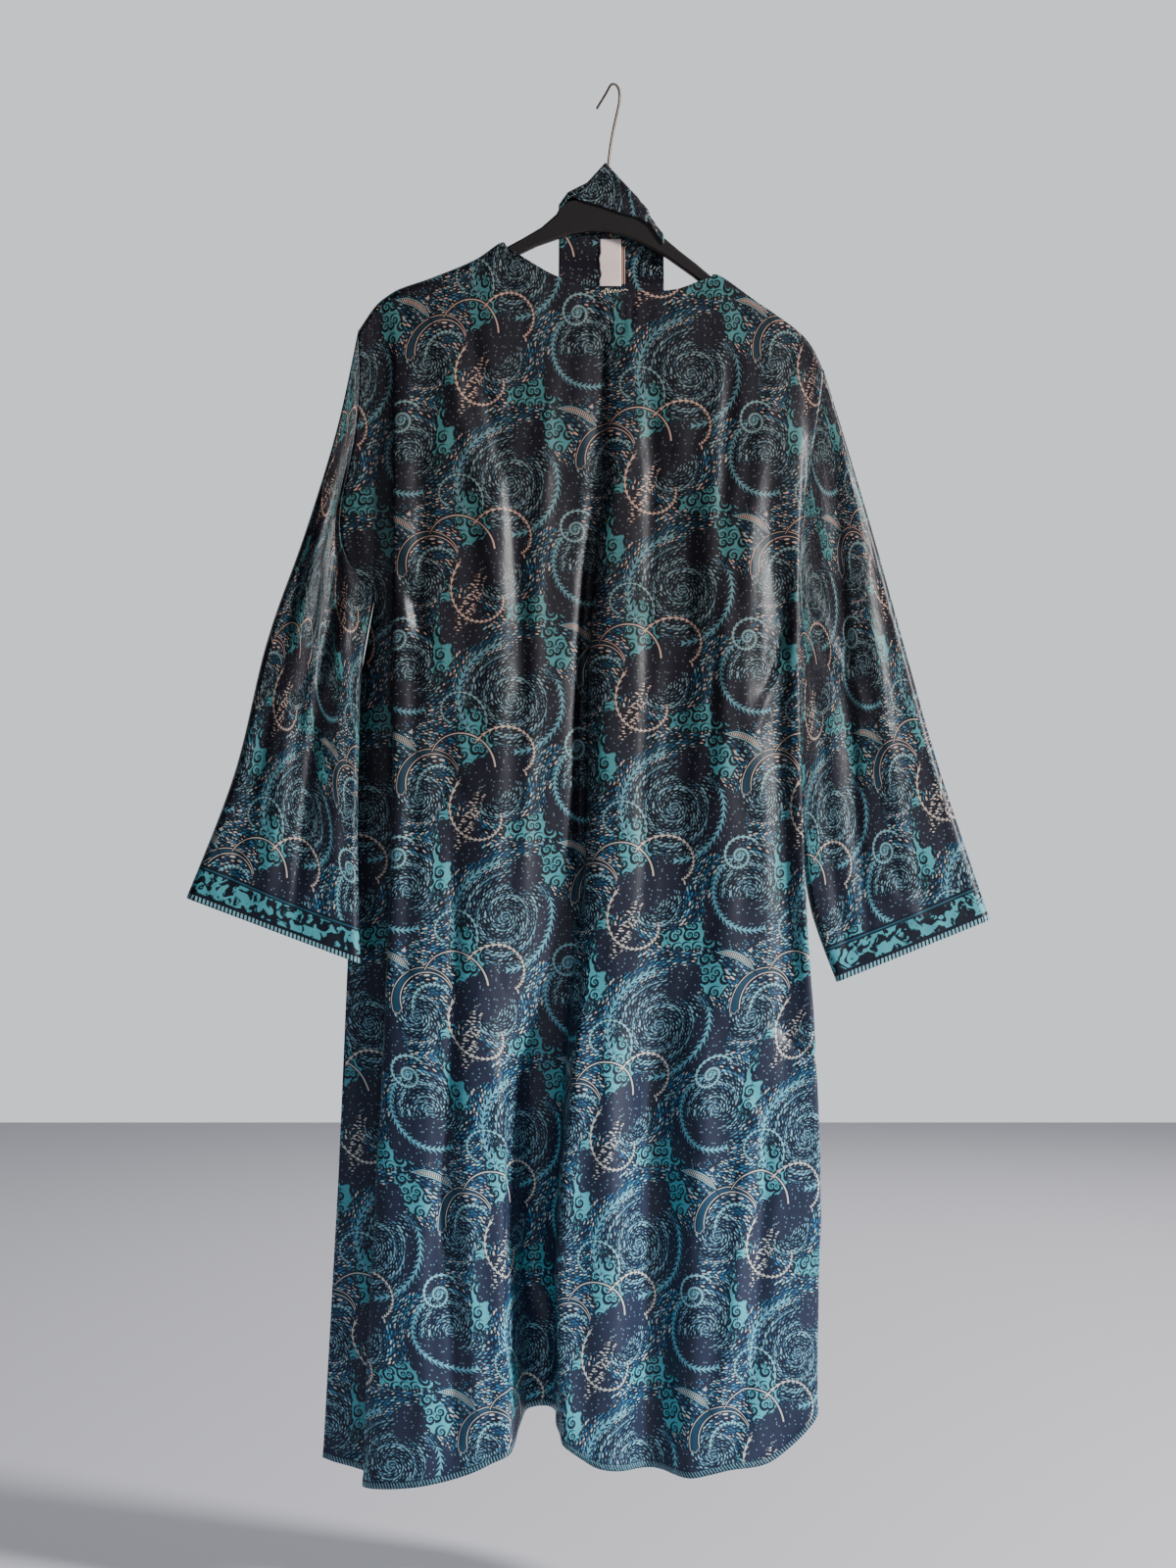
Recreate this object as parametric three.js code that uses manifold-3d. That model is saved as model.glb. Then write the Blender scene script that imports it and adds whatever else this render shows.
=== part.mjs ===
// A reversible kimono hung on a plastic hanger, back outwards. Millimetres, +Z up, +X to the wearer's right
// sleeve as the back is seen. The origin is the underside of the hook's crown, where a rail holds it up.
//
// Each cloth piece is a wall of even thickness. A panel is laid out by fold lines that run from its top edge to
// its hem: every row of the panel is a smooth curve through its fold lines, and the inner face is that row moved
// in by the wall. A sleeve is a row of flat oval rings from the armhole to the cuff.

import * as THREE from 'three';
import { mergeVertices } from 'three/addons/utils/BufferGeometryUtils.js';
import Module from 'manifold-3d';

// ---- driving dimensions -------------------------------------------------------------------------------------

const CLOTH = 1.6; // wall of the doubled silk
const SHARPEST = 0.56; // the inner face keeps its distance round a fold up to this cosine of half its turn
const SEAM = 0.3; // parting between pieces that are sewn together
const ROUND = 8; // half the depth of the garment where it lies over the hanger's arms
const ARMHOLE = { left: { top: [-253, -242], under: [-238, -504], bow: 29, skew: 2.4 },
  right: { top: [207, -281], under: [179, -527], bow: 5, skew: 1.5 } };
const BAND = { width: 50, top: -165, lift: 9.4 };
const TILT = THREE.MathUtils.degToRad(4.8); // the hanger hangs a little lower on its right
const HANGER = { centre: [-8.7, -111.9], thickness: 10, bevel: 2 };
const WIRE = 1.35; // radius of the hook's wire
const HOOK = { yaw: THREE.MathUtils.degToRad(58), socket: 14, clearance: 0.3 };
const HOOK_LINE = [[0, 10], [0, 30], [0.6, 48], [3.6, 68], [8.2, 88], [10.4, 99], [10.2, 105.5], [7.2, 111],
  [0, 113.55], [-7, 111.2], [-12, 104.5], [-17, 97.5], [-29, 82]];

// Steps of the grids.
const ROUND_STEPS = 3;
const ARM_STEPS = 8;
const FALL_STEPS = 13;
const SPAN_STEPS = 2;
const SLEEVE_STEPS = 12;
const BAND_STEPS = 12;

// Where the fold lines meet the shoulder seam: x and height, from the armhole in to the neck's corner.
const SHOULDER = {
  left: [[-235, -217], [-224, -208], [-214, -202], [-180, -190], [-137, -172], [-110, -155]],
  right: [[100, -186.5], [143, -215], [181, -242], [194, -256]],
};

// The fold lines of a panel, which run from its top edge to its hem. hem is the height there; x is read at the
// shoulder blade, the underarm, the waist, the knee and the hem; proud is how far the line stands out from the
// plane of the hanger there. Lines of a shoulder start on its seam, over the hanger's arm, and lines of the neck
// start at a free edge, whose x and height are their top.
const BACK_LINES = [
  { name: 'strip', hem: -1364, x: [-234, -231, -238, -256, -270], proud: [0, 0, -15, -14, -8] },
  { name: 'tuck', hem: -1374, x: [-214, -212, -214, -229, -241], proud: [1, 0, -12, -12, -8] },
  { name: 'ridge', hem: -1380, x: [-217, -217, -220, -234, -248], proud: [8, 12, 14, 14, 12] },
  { name: 'lobe', hem: -1378, x: [-182, -184, -188, -200, -207], proud: [8, 14, 18, 26, 30] },
  { name: 'full', hem: -1368, x: [-140, -144, -148, -153, -153], proud: [7, 13, 17, 27, 28] },
  { name: 'neck', hem: -1355, x: [-111, -115, -121, -128, -123], proud: [5, 11, 15, 25, 22] },
  { name: 'corner', top: [-104.5, -162.5], hem: -1343, x: [-99, -99, -103, -113, -102], proud: [4, 9, 12, 18, 14] },
  { name: 'lip', top: [-59, -189], hem: -1324, x: [-65, -72, -84, -100, -92], proud: [3, 8, 8, 6, 0] },
  { name: 'valley', top: [-28, -199], hem: -1312, x: [-34, -41, -53, -79, -78], proud: [0, 2, 0, -14, -18] },
  { name: 'foot', top: [-16, -201], hem: -1312, x: [-20, -28, -37, -55, -66], proud: [-1, -1, -4, -9, -11] },
  { name: 'edge', top: [-8, -202], hem: -1320, x: [-13, -22, -32, -50, -59], proud: [3, 6, 8, 14, 12] },
  { name: 'full', top: [17, -204], hem: -1356, x: [14, 8, 1, -14, -20], proud: [6, 12, 18, 28, 28] },
  { name: 'trough', top: [59, -203], hem: -1364, x: [59, 55, 51, 43, 40], proud: [6, 10, 12, 14, 16] },
  { name: 'corner', top: [93.5, -191.5], hem: -1369, x: [88, 84, 82, 76, 74], proud: [7, 13, 16, 20, 20] },
  { name: 'neck', hem: -1362, x: [105, 109, 113, 117, 111], proud: [8, 15, 18, 24, 24] },
  { name: 'full', hem: -1354, x: [146, 150, 153, 162, 155], proud: [8, 13, 16, 18, 16] },
  { name: 'ridge', hem: -1309, x: [183, 181, 186, 200, 200], proud: [6, 9, 12, 10, 8] },
  { name: 'tuck', hem: -1305, x: [188, 176, 173, 182, 186], proud: [1, 1, 0, -1, -2] },
];
const FRONT_LEFT_LINES = [
  { name: 'turn', hem: -1337, x: [-234, -231, -240, -258, -271], proud: [1, 2, 9, 8, 4] },
  { name: 'side', hem: -1340, x: [-216, -214, -226, -244, -256], proud: [3, 6, 15, 14, 10] },
  { name: 'full', hem: -1343, x: [-207, -205, -206, -225, -236], proud: [5, 9, 18, 19, 15] },
  { name: 'fold', hem: -1345, x: [-177, -178, -186, -206, -216], proud: [7, 12, 16, 13, 14] },
  { name: 'lobe', hem: -1345, x: [-140, -150, -162, -188, -201], proud: [6, 10, 18, 21, 22] },
  { name: 'neck', hem: -1342, x: [-115, -123, -136, -172, -188], proud: [4, 8, 12, 16, 16] },
  { name: 'corner', top: [-104.5, -162.5], hem: -1340, x: [-101, -107, -120, -158, -175], proud: [4, 8, 11, 13, 13] },
];
const FRONT_RIGHT_LINES = [
  { name: 'corner', top: [93.5, -191.5], hem: -1343, x: [86, 78, 69, 41, 32], proud: [4, 8, 10, 12, 12] },
  { name: 'neck', hem: -1345, x: [100, 98, 92, 82, 80], proud: [4, 8, 12, 18, 18] },
  { name: 'full', hem: -1333, x: [140, 136, 132, 132, 136], proud: [7, 12, 14, 12, 14] },
  { name: 'fold', hem: -1310, x: [176, 158, 146, 152, 160], proud: [4, 7, 9, 12, 12] },
  { name: 'turn', hem: -1299, x: [187, 173, 159, 167, 173], proud: [1, 1, 1, 2, 2] },
];

// The side seams under the arms: x and y at each height. The left one tucks in behind the sleeve.
const SIDE = {
  left: { z: [-512, -580, -660, -790, -1080, -1358], x: [-238, -251, -257, -262, -274, -289],
    y: [0, 8, 12, 13, 9, 4] },
  right: { z: [-535, -620, -700, -800, -1080, -1305], x: [179, 172, 168, 165, 173, 179], y: [0, 0, 0, 0, 0, 0] },
};

// The front opening: the height of each level, the middle of the opening and its width.
const OPENING = {
  z: [-150, -350, -520, -800, -1080, -1345],
  centre: [-2.9, -4.8, -14.5, -29.9, -51.1, -76.2],
  gap: [3, 3, 3.8, 13, 34, 66],
};
const EDGE = { top: -212, hemLeft: -1338, hemRight: -1340, proud: [3, 6, 8, 9, 9] };

// Sleeve outlines, from the armhole to the cuff: the top fold, the lower fold, the half depth and its middle.
const SLEEVES = {
  left: { top: [[-253, -242], [-274, -340], [-306, -445], [-343, -551], [-375, -681], [-422, -803]],
    under: [[-238, -512], [-249, -575], [-252, -652], [-253, -730], [-252, -799], [-250, -868]],
    depth: [8, 9, 9.5, 9.5, 9, 8], middle: [0, -3, -5, -6, -7, -8],
    folds: [{ at: 0.3, wide: 0.14, near: 4, far: 2 }, { at: 0.6, wide: 0.12, near: -3, far: 3 }] },
  right: { top: [[207, -281], [231, -358], [257, -445], [288, -556], [321, -672], [372, -825]],
    under: [[179, -535], [179, -594], [180, -667], [184, -739], [195, -816], [220, -887]],
    depth: [8, 9, 9.5, 9.5, 9, 8], middle: [0, 3, 5, 6, 6, 5],
    folds: [{ at: 0.35, wide: 0.15, near: 3, far: 3 }, { at: 0.7, wide: 0.1, near: -3, far: 2 }] },
};

// The neckband: the ridge of its fold over the hanger, and the lower edge of the flap in front.
const NECKBAND = {
  x: [-55, -46, -27, -8.7, 6, 24, 36, 49],
  ridge: [-118, -105.5, -96, -76, -92, -111, -129, -149],
  flap: [-126, -110, -117, -122, -127.5, -132, -139, -158],
  depth: 7.3,
  pinch: 3.6,
  pinchWidth: 26,
  climb: 36,
};
const COLUMN_ROWS = [0, 0.2, 0.4, 0.6, 0.8, 1];
const LABEL = { left: -14.5, right: 6.8, top: -151, bottom: -200, thickness: 0.6 };
const LABEL_UNDER = { left: 7.1, right: 11, top: -158, bottom: -198, thickness: 0.4 };

// Half the hanger's outline, from the middle out to the tip, in its own untilted frame.
const HANGER_TOP = [[0, -3], [30, -3], [38, -6], [43.7, -11.5], [47, -20], [60.5, -34], [78, -46.5], [95, -57.5],
  [111, -69], [123, -77], [160, -96.5], [197, -117], [204, -122]];
const HANGER_UNDER = [[206, -128], [200, -130], [160, -109], [123, -90], [108, -80.5], [92, -69.5], [64, -53],
  [34, -39.5], [14, -34], [0, -33]];

const FINISH = {
  silk: { color: '#2f4a5c', roughness: 0.55, metalness: 0 },
  label: { color: '#dcc8bf', roughness: 0.8, metalness: 0 },
  plastic: { color: '#2c2827', roughness: 0.5, metalness: 0 },
  steel: { color: '#8a8078', roughness: 0.35, metalness: 0.9 },
};

// ---- small tools --------------------------------------------------------------------------------------------

const { lerp, clamp, smoothstep } = THREE.MathUtils;

// A smooth curve through evenly spaced values, read at s from 0 to the last index.
function knots(values, s) {
  const last = values.length - 1;
  const i = clamp(Math.floor(s), 0, last - 1);
  const at = (k) => values[clamp(k, 0, last)];
  const slopes = [(at(i + 1) - at(i - 1)) / 2, (at(i + 2) - at(i)) / 2];
  const t = s - i;
  const t2 = t * t;
  const t3 = t2 * t;
  return (2 * t3 - 3 * t2 + 1) * at(i) + (t3 - 2 * t2 + t) * slopes[0]
    + (3 * t2 - 2 * t3) * at(i + 1) + (t3 - t2) * slopes[1];
}

// A straight-line reading of a table by a rising or falling column.
function table(keys, values, key) {
  const rising = keys[1] > keys[0];
  let i = 0;
  while (i < keys.length - 2 && (rising ? key > keys[i + 1] : key < keys[i + 1])) i += 1;
  const t = clamp((key - keys[i]) / (keys[i + 1] - keys[i]), 0, 1);
  return lerp(values[i], values[i + 1], t);
}

const steps = (n) => Array.from({ length: n + 1 }, (_, i) => i / n);

// A closed body between an outer and an inner grid of points. ring joins the last column to the first.
function wall(outer, inner, ring = false) {
  const rows = outer.length;
  const columns = outer[0].length;
  const positions = [...outer, ...inner].flat().flatMap((p) => [p.x, p.y, p.z]);
  const index = [];
  const id = (face, r, c) => (face * rows + r) * columns + (c % columns);
  const quad = (a, b, c, d) => index.push(a, b, c, a, c, d);
  const spans = ring ? columns : columns - 1;
  for (let c = 0; c < spans; c += 1) {
    for (let r = 0; r < rows - 1; r += 1) {
      quad(id(0, r, c), id(0, r + 1, c), id(0, r + 1, c + 1), id(0, r, c + 1));
      quad(id(1, r, c), id(1, r, c + 1), id(1, r + 1, c + 1), id(1, r + 1, c));
    }
    quad(id(0, 0, c), id(0, 0, c + 1), id(1, 0, c + 1), id(1, 0, c));
    quad(id(0, rows - 1, c), id(1, rows - 1, c), id(1, rows - 1, c + 1), id(0, rows - 1, c + 1));
  }
  for (let r = 0; !ring && r < rows - 1; r += 1) {
    quad(id(0, r, 0), id(1, r, 0), id(1, r + 1, 0), id(0, r + 1, 0));
    quad(id(0, r, columns - 1), id(0, r + 1, columns - 1), id(1, r + 1, columns - 1), id(1, r, columns - 1));
  }
  const geometry = new THREE.BufferGeometry();
  geometry.setAttribute('position', new THREE.Float32BufferAttribute(positions, 3));
  geometry.setIndex(index);
  return facingOut(geometry);
}

// Turns a closed body's triangles round where its volume comes out negative.
function facingOut(geometry) {
  const p = geometry.getAttribute('position');
  const corner = (i) => new THREE.Vector3().fromBufferAttribute(p, geometry.index.getX(i));
  let volume = 0;
  for (let i = 0; i < geometry.index.count; i += 3) volume += corner(i).dot(corner(i + 1).cross(corner(i + 2)));
  if (volume < 0) geometry.setIndex([...geometry.index.array].reverse());
  return geometry;
}

const wasm = await Module();
wasm.setup();

function solid(geometry) {
  const bare = geometry.clone();
  bare.deleteAttribute('normal');
  bare.deleteAttribute('uv');
  const merged = mergeVertices(bare);
  return new wasm.Manifold(new wasm.Mesh({
    numProp: 3,
    vertProperties: new Float32Array(merged.getAttribute('position').array),
    triVerts: new Uint32Array(merged.index.array),
  }));
}

function cut(geometry, ...tools) {
  const mesh = tools.reduce((body, tool) => body.subtract(solid(tool)), solid(geometry)).getMesh();
  const result = new THREE.BufferGeometry();
  result.setAttribute('position', new THREE.Float32BufferAttribute(mesh.vertProperties, 3));
  result.setIndex([...mesh.triVerts]);
  return result;
}

const group = new THREE.Group();

function piece(name, geometry, finish) {
  geometry.computeVertexNormals();
  const mesh = new THREE.Mesh(geometry, new THREE.MeshStandardMaterial(FINISH[finish]));
  mesh.name = name;
  group.add(mesh);
}

// ---- the body's panels --------------------------------------------------------------------------------------

// The armhole's seam from the shoulder (t = 0) to the underarm (t = 1), which bows towards the sleeve.
function armhole(side, t) {
  const { top, under, bow, skew } = ARMHOLE[side];
  const x = lerp(top[0], under[0], t) - bow * Math.sin(Math.PI * t ** skew);
  return { x, z: lerp(top[1] - ROUND, under[1], t) };
}

// Rows of a panel: over the shoulder's round, down the armhole, under the armhole's end, down to the hem.
const ROWS = [
  ...steps(ROUND_STEPS).slice(0, -1).map((f) => ({ over: (1 - f) * Math.PI / 2, t: 0, under: 0, fall: 0 })),
  ...steps(ARM_STEPS).map((t) => ({ over: 0, t, under: 0, fall: 0 })),
  ...steps(ROUND_STEPS).slice(1).map((f) => ({ over: 0, t: 1, under: f * Math.PI / 2, fall: 0 })),
  ...steps(FALL_STEPS).slice(1).map((fall) => ({ over: 0, t: 1, under: Math.PI / 2, fall })),
];

// Height of the underarm level at x, sloping from one armhole's end to the other's.
function underarm(x) {
  const [left, right] = [ARMHOLE.left.under, ARMHOLE.right.under];
  return lerp(left[1], right[1], (x - left[0]) / (right[0] - left[0]));
}

function heightOn(line, row, level) {
  const end = level - ROUND * Math.sin(row.under);
  if (row.fall > 0) return lerp(end, line.hem, row.fall);
  if (row.under > 0) return end;
  return row.over > 0 ? line.top - ROUND * (1 - Math.sin(row.over)) : lerp(line.top - ROUND, level, row.t);
}

// Where a row reads a line's table: 0 at the top, 2 at the underarm, 5 at the hem.
function levelOf(line, row, level) {
  const drop = level - heightOn(line, row, level);
  return row.under > 0 ? 2 + 3 * drop / (level - line.hem) : 2 * row.t;
}

// A point of a fold line. facing is -1 for the back and 1 for a front.
function onLine(line, row, facing) {
  const level = underarm(line.x ? line.x[1] : 0);
  const s = levelOf(line, row, level);
  const z = heightOn(line, row, level);
  const out = ROUND + knots([0, ...line.proud], s);
  const over = line.neck ? out : out * Math.cos(row.over);
  return new THREE.Vector3(line.x ? knots([line.start, ...line.x], s) : line.at(z), facing * over, z);
}

// Gives each line its start: a neck line's own top, or the shoulder's next place.
function started(lines, places) {
  const next = places[Symbol.iterator]();
  return lines.map((line) => {
    if (line.at) return line;
    const [x, z] = line.top ?? next.next().value;
    return { ...line, neck: line.top !== undefined, start: x, top: z };
  });
}

// A point of the armhole's seam, then of the side seam. inward is 1 on the left and -1 on the right.
function onSide(side, row, facing) {
  const inward = side === 'left' ? 1 : -1;
  const seam = SIDE[side];
  const level = ARMHOLE[side].under[1];
  const hole = armhole(side, row.t);
  const z = heightOn({ top: ARMHOLE[side].top[1], hem: seam.z[seam.z.length - 1] }, row, level);
  if (row.fall === 0) {
    const out = ROUND * Math.cos(Math.max(row.over, row.under));
    return new THREE.Vector3(hole.x + inward * SEAM, facing * Math.max(out, SEAM / 2), z);
  }
  const x = table(seam.z, seam.x, z);
  const y = table(seam.z, seam.y, z);
  return new THREE.Vector3(x + inward * SEAM, y + facing * SEAM / 2, z);
}

// The way in from the outer face at a seam: towards the other panel on the armhole, sideways on the side seam.
function wayInAtSeam(side, row, facing) {
  const inward = side === 'left' ? 1 : -1;
  if (row.over > 0) return new THREE.Vector3(0, -facing * Math.cos(row.over), -Math.sin(row.over));
  return new THREE.Vector3(inward * Math.sin(row.under), -facing * Math.cos(row.under), 0);
}

// The level direction from one point to another.
function direction(from, to) {
  return new THREE.Vector3(to.x - from.x, to.y - from.y, 0).normalize();
}

// One row of a panel, outer face and inner face, as smooth curves through its control points.
function panelRow(row, lines, facing, leftSide, rightSide) {
  const controls = lines.map((line) => onLine(line, row, facing));
  if (leftSide) controls.unshift(onSide('left', row, facing));
  if (rightSide) controls.push(onSide('right', row, facing));
  const curve = new THREE.CatmullRomCurve3(controls, false, 'centripetal');
  const outer = steps((controls.length - 1) * SPAN_STEPS).map((t) => curve.getPoint(t));
  if (row.over > 0) outer.forEach((p) => p.setY(facing * Math.max(facing * p.y, SEAM / 2)));
  const neck = lines.map((line) => (line.neck ? 0 : 1));
  if (leftSide) neck.unshift(1);
  if (rightSide) neck.push(1);
  const inner = outer.map((p, i) => {
    const last = outer.length - 1;
    if (i === 0 && leftSide) return p.clone().addScaledVector(wayInAtSeam('left', row, facing), CLOTH);
    if (i === last && rightSide) return p.clone().addScaledVector(wayInAtSeam('right', row, facing), CLOTH);
    if (row.over > 0) {
      const shoulder = table(neck.map((_, k) => k), neck, i / SPAN_STEPS);
      const angle = row.over * shoulder;
      const y = facing * Math.max(Math.abs(p.y) - CLOTH * Math.cos(angle), SEAM / 2);
      return new THREE.Vector3(p.x, y, p.z - CLOTH * Math.sin(angle));
    }
    const before = direction(outer[Math.max(i - 1, 0)], outer[Math.max(i, 1)]);
    const after = direction(outer[Math.min(i, last - 1)], outer[Math.min(i + 1, last)]);
    const along = before.clone().add(after).normalize();
    const wayIn = new THREE.Vector3(facing * along.y, -facing * along.x, 0);
    return p.clone().addScaledVector(wayIn, CLOTH / Math.max(along.dot(after), SHARPEST));
  });
  return { outer, inner };
}

function panel(lines, facing, leftSide, rightSide) {
  const rows = ROWS.map((row) => panelRow(row, lines, facing, leftSide, rightSide));
  return { outer: rows.map((r) => r.outer), inner: rows.map((r) => r.inner) };
}

// The seam between a front and its band at height z. side is -1 on the left and 1 on the right.
function bandEdge(side, z, across) {
  const centre = table(OPENING.z, OPENING.centre, z);
  const gap = table(OPENING.z, OPENING.gap, z);
  return centre + side * (gap / 2 + across);
}

function frontEdge(side) {
  return {
    neck: true,
    top: EDGE.top,
    hem: side < 0 ? EDGE.hemLeft : EDGE.hemRight,
    at: (z) => bandEdge(side, z, BAND.width + SEAM),
    proud: EDGE.proud,
  };
}

// A band: a strip beside the front's edge, which goes on up behind the hanger's bridge.
function band(side) {
  const edge = frontEdge(side);
  const level = underarm(0);
  const proud = [0, ...edge.proud];
  const depths = [EDGE.top, level, edge.hem];
  const rows = [BAND.top, -190, ...ROWS.filter((row) => row.over === 0).map((row) => heightOn(edge, row, level))];
  const outer = rows.map((z) => {
    const s = z > level ? 2 * clamp((depths[0] - z) / (depths[0] - depths[1]), 0, 1)
      : 2 + 3 * (depths[1] - z) / (depths[1] - depths[2]);
    const y = Math.max(ROUND + knots(proud, s), lerp(BAND.lift, ROUND, smoothstep(-z, 200, 230)));
    return steps(2).map((f) => new THREE.Vector3(bandEdge(side, z, BAND.width * f), y, z));
  });
  const inner = outer.map((row) => row.map((p) => p.clone().setY(p.y - CLOTH)));
  return wall(outer, inner);
}

// ---- the sleeves --------------------------------------------------------------------------------------------

// One ring of a sleeve at w, from the armhole (0) to the cuff (1), moved in by inset.
function sleeveRing(side, w, inset) {
  const { top, under, depth, middle, folds } = SLEEVES[side];
  const s = w * (top.length - 1);
  const read = (list, axis) => knots(list.map((p) => p[axis]), s);
  const half = knots(depth, s);
  const centre = knots(middle, s);
  const ends = [top, under].map((list) => new THREE.Vector2(read(list, 0), read(list, 1)));
  const along = ends[1].clone().sub(ends[0]).normalize();
  const upright = new THREE.Vector2(0, -1).lerp(along, Math.min(1, w * 3)).normalize();
  const first = ends[0].clone().addScaledVector(upright, half);
  const last = ends[1].clone().addScaledVector(upright, -half);
  const fold = (t, face) => folds.reduce(
    (sum, f) => sum + f[face] * Math.exp(-(((t - f.at) / f.wide) ** 2)) * Math.sin(Math.PI * w) ** 2,
    0,
  ) * Math.sin(Math.PI * t);
  const flat = (t, face) => {
    const seam = armhole(side, t);
    const start = armhole(side, 0);
    const end = armhole(side, 1);
    const bow = seam.x - lerp(start.x, end.x, t);
    const place = t - 3 * w * (1 - w) * t * (1 - t); // so that the sleeve leaves a bowed seam squarely
    const x = lerp(first.x, last.x, place) + bow * (1 - smoothstep(w, 0, 1));
    const z = lerp(first.y, last.y, place);
    const out = half - inset + fold(t, face < 0 ? 'near' : 'far');
    return new THREE.Vector3(x, centre + face * out, z);
  };
  const round = (at, way, angle) => new THREE.Vector3(
    at.x + way * upright.x * (half - inset) * Math.sin(angle),
    centre - way * (half - inset) * Math.cos(angle),
    at.y + way * upright.y * (half - inset) * Math.sin(angle),
  );
  const arc = steps(2 * ROUND_STEPS).slice(1, -1).map((f) => f * Math.PI);
  return [
    ...steps(ARM_STEPS).map((t) => flat(t, -1)),
    ...arc.map((angle) => round(last, 1, angle)),
    ...steps(ARM_STEPS).map((t) => flat(1 - t, 1)),
    ...arc.map((angle) => round(first, -1, angle)),
  ];
}

function sleeve(side) {
  const rings = steps(SLEEVE_STEPS);
  return wall(
    rings.map((w) => sleeveRing(side, w, 0)),
    rings.map((w) => sleeveRing(side, w, CLOTH)),
    true,
  );
}

// ---- the neckband and its label -----------------------------------------------------------------------------

// Height of the tilted hanger's top edge at x.
function hangerTop(x) {
  const whole = [...HANGER_TOP.slice(1).reverse().map(([u, z]) => [-u, z]), ...HANGER_TOP];
  const across = whole.map(([u, z]) => HANGER.centre[0] + u * Math.cos(TILT) + z * Math.sin(TILT));
  const height = whole.map(([u, z]) => HANGER.centre[1] - u * Math.sin(TILT) + z * Math.cos(TILT));
  return table(across, height, x);
}

// Height of the back's neck edge at x.
function neckEdge(x, backTop) {
  const after = backTop.findIndex((p) => p.x > x);
  const [a, b] = [backTop[after - 1], backTop[after]];
  return lerp(a.z, b.z, (x - a.x) / (b.x - a.x));
}

// The near face of the band's column, which climbs from the neck edge to lie behind the hanger's bridge.
function columnFace(z, edge) {
  const rows = COLUMN_ROWS.map((f) => lerp(-ROUND, NECKBAND.depth - CLOTH, smoothstep(f, 0.05, 1)));
  return table(COLUMN_ROWS, rows, (z - edge) / NECKBAND.climb);
}

function neckband(backTop) {
  const { x: keys, ridge, flap, depth, pinch, pinchWidth, climb } = NECKBAND;
  const peak = keys[ridge.indexOf(Math.max(...ridge))];
  const column = (x) => {
    const edge = neckEdge(x, backTop) + SEAM;
    const crest = Math.max(table(keys, ridge, x), hangerTop(x) + 4.2);
    const tight = lerp(pinch, depth, smoothstep(Math.abs(x - peak), 4, pinchWidth));
    const spring = Math.max(hangerTop(x) + 1, edge + climb + 4);
    const centre = crest - tight;
    const foot = Math.min(table(keys, flap, x), centre - 1);
    const path = [];
    for (const f of COLUMN_ROWS) {
      const z = edge + climb * f;
      path.push({ z, y: columnFace(z, edge) + CLOTH, ny: 1, nz: 0 });
    }
    for (const f of [0, 0.5]) {
      const z = lerp(Math.min(spring, centre - 1), centre, f);
      path.push({ z, y: lerp(depth, tight, f), ny: 1, nz: 0 });
    }
    for (const angle of steps(2 * ROUND_STEPS).map((f) => f * Math.PI)) {
      path.push({ z: centre + tight * Math.sin(angle), y: tight * Math.cos(angle),
        ny: Math.cos(angle), nz: Math.sin(angle) });
    }
    for (const f of [0.5, 1]) {
      const z = lerp(centre, foot, f);
      const out = lerp(tight, depth, smoothstep(centre - z, 0, Math.max(centre - hangerTop(x), 1)));
      path.push({ z, y: -out, ny: -1, nz: 0 });
    }
    return path;
  };
  const xs = steps(BAND_STEPS).map((f) => lerp(keys[0], keys[keys.length - 1], f));
  const columns = xs.map((x) => ({ x, path: column(x) }));
  const rows = columns[0].path.map((_, r) => columns.map(({ x, path }) => ({ x, ...path[r] })));
  const outer = rows.map((row) => row.map(({ x, y, z }) => new THREE.Vector3(x, y, z)));
  const inner = rows.map((row) => row.map(
    ({ x, y, z, ny, nz }) => new THREE.Vector3(x, y - ny * CLOTH, z - nz * CLOTH),
  ));
  return wall(outer, inner);
}

// A tab that lies on the near face of the band's column.
function tab({ left, right, top, bottom, thickness }, backTop) {
  const base = neckEdge((left + right) / 2, backTop) + SEAM;
  const inside = COLUMN_ROWS.map((f) => base + NECKBAND.climb * f).filter((z) => z > bottom + 1 && z < top - 1);
  const rows = [bottom, ...inside, top];
  const face = (lift) => rows.map((z) => [left, right].map((x) => {
    const edge = neckEdge(x, backTop) + SEAM;
    return new THREE.Vector3(x, columnFace(z, edge) - 1.5 * SEAM - lift, z);
  }));
  return wall(face(thickness), face(0));
}

// ---- the hanger and its hook --------------------------------------------------------------------------------

// Puts a geometry made in the hanger's own upright frame in its place.
function hung(geometry) {
  geometry.rotateY(TILT);
  geometry.translate(HANGER.centre[0], 0, HANGER.centre[1]);
  return geometry;
}

function hanger() {
  const half = [...HANGER_TOP, ...HANGER_UNDER];
  const other = half.slice(1, -1).map(([x, z]) => [-x, z]).reverse();
  const { bevel, thickness } = HANGER;
  const outline = new THREE.Shape([...half, ...other].map(([x, z]) => new THREE.Vector2(x, z)));
  const body = new THREE.ExtrudeGeometry(outline, {
    depth: thickness - 2 * bevel,
    bevelEnabled: true,
    bevelThickness: bevel,
    bevelSize: bevel,
    bevelOffset: -bevel,
    bevelSegments: 1,
    curveSegments: 1,
  });
  body.rotateX(Math.PI / 2);
  body.translate(0, thickness / 2 - bevel, 0);
  const bore = new THREE.CylinderGeometry(WIRE + HOOK.clearance, WIRE + HOOK.clearance, HOOK.socket * 2, 12);
  bore.rotateX(Math.PI / 2);
  bore.translate(0, 0, HANGER_TOP[0][1]);
  return hung(cut(body, bore));
}

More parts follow.
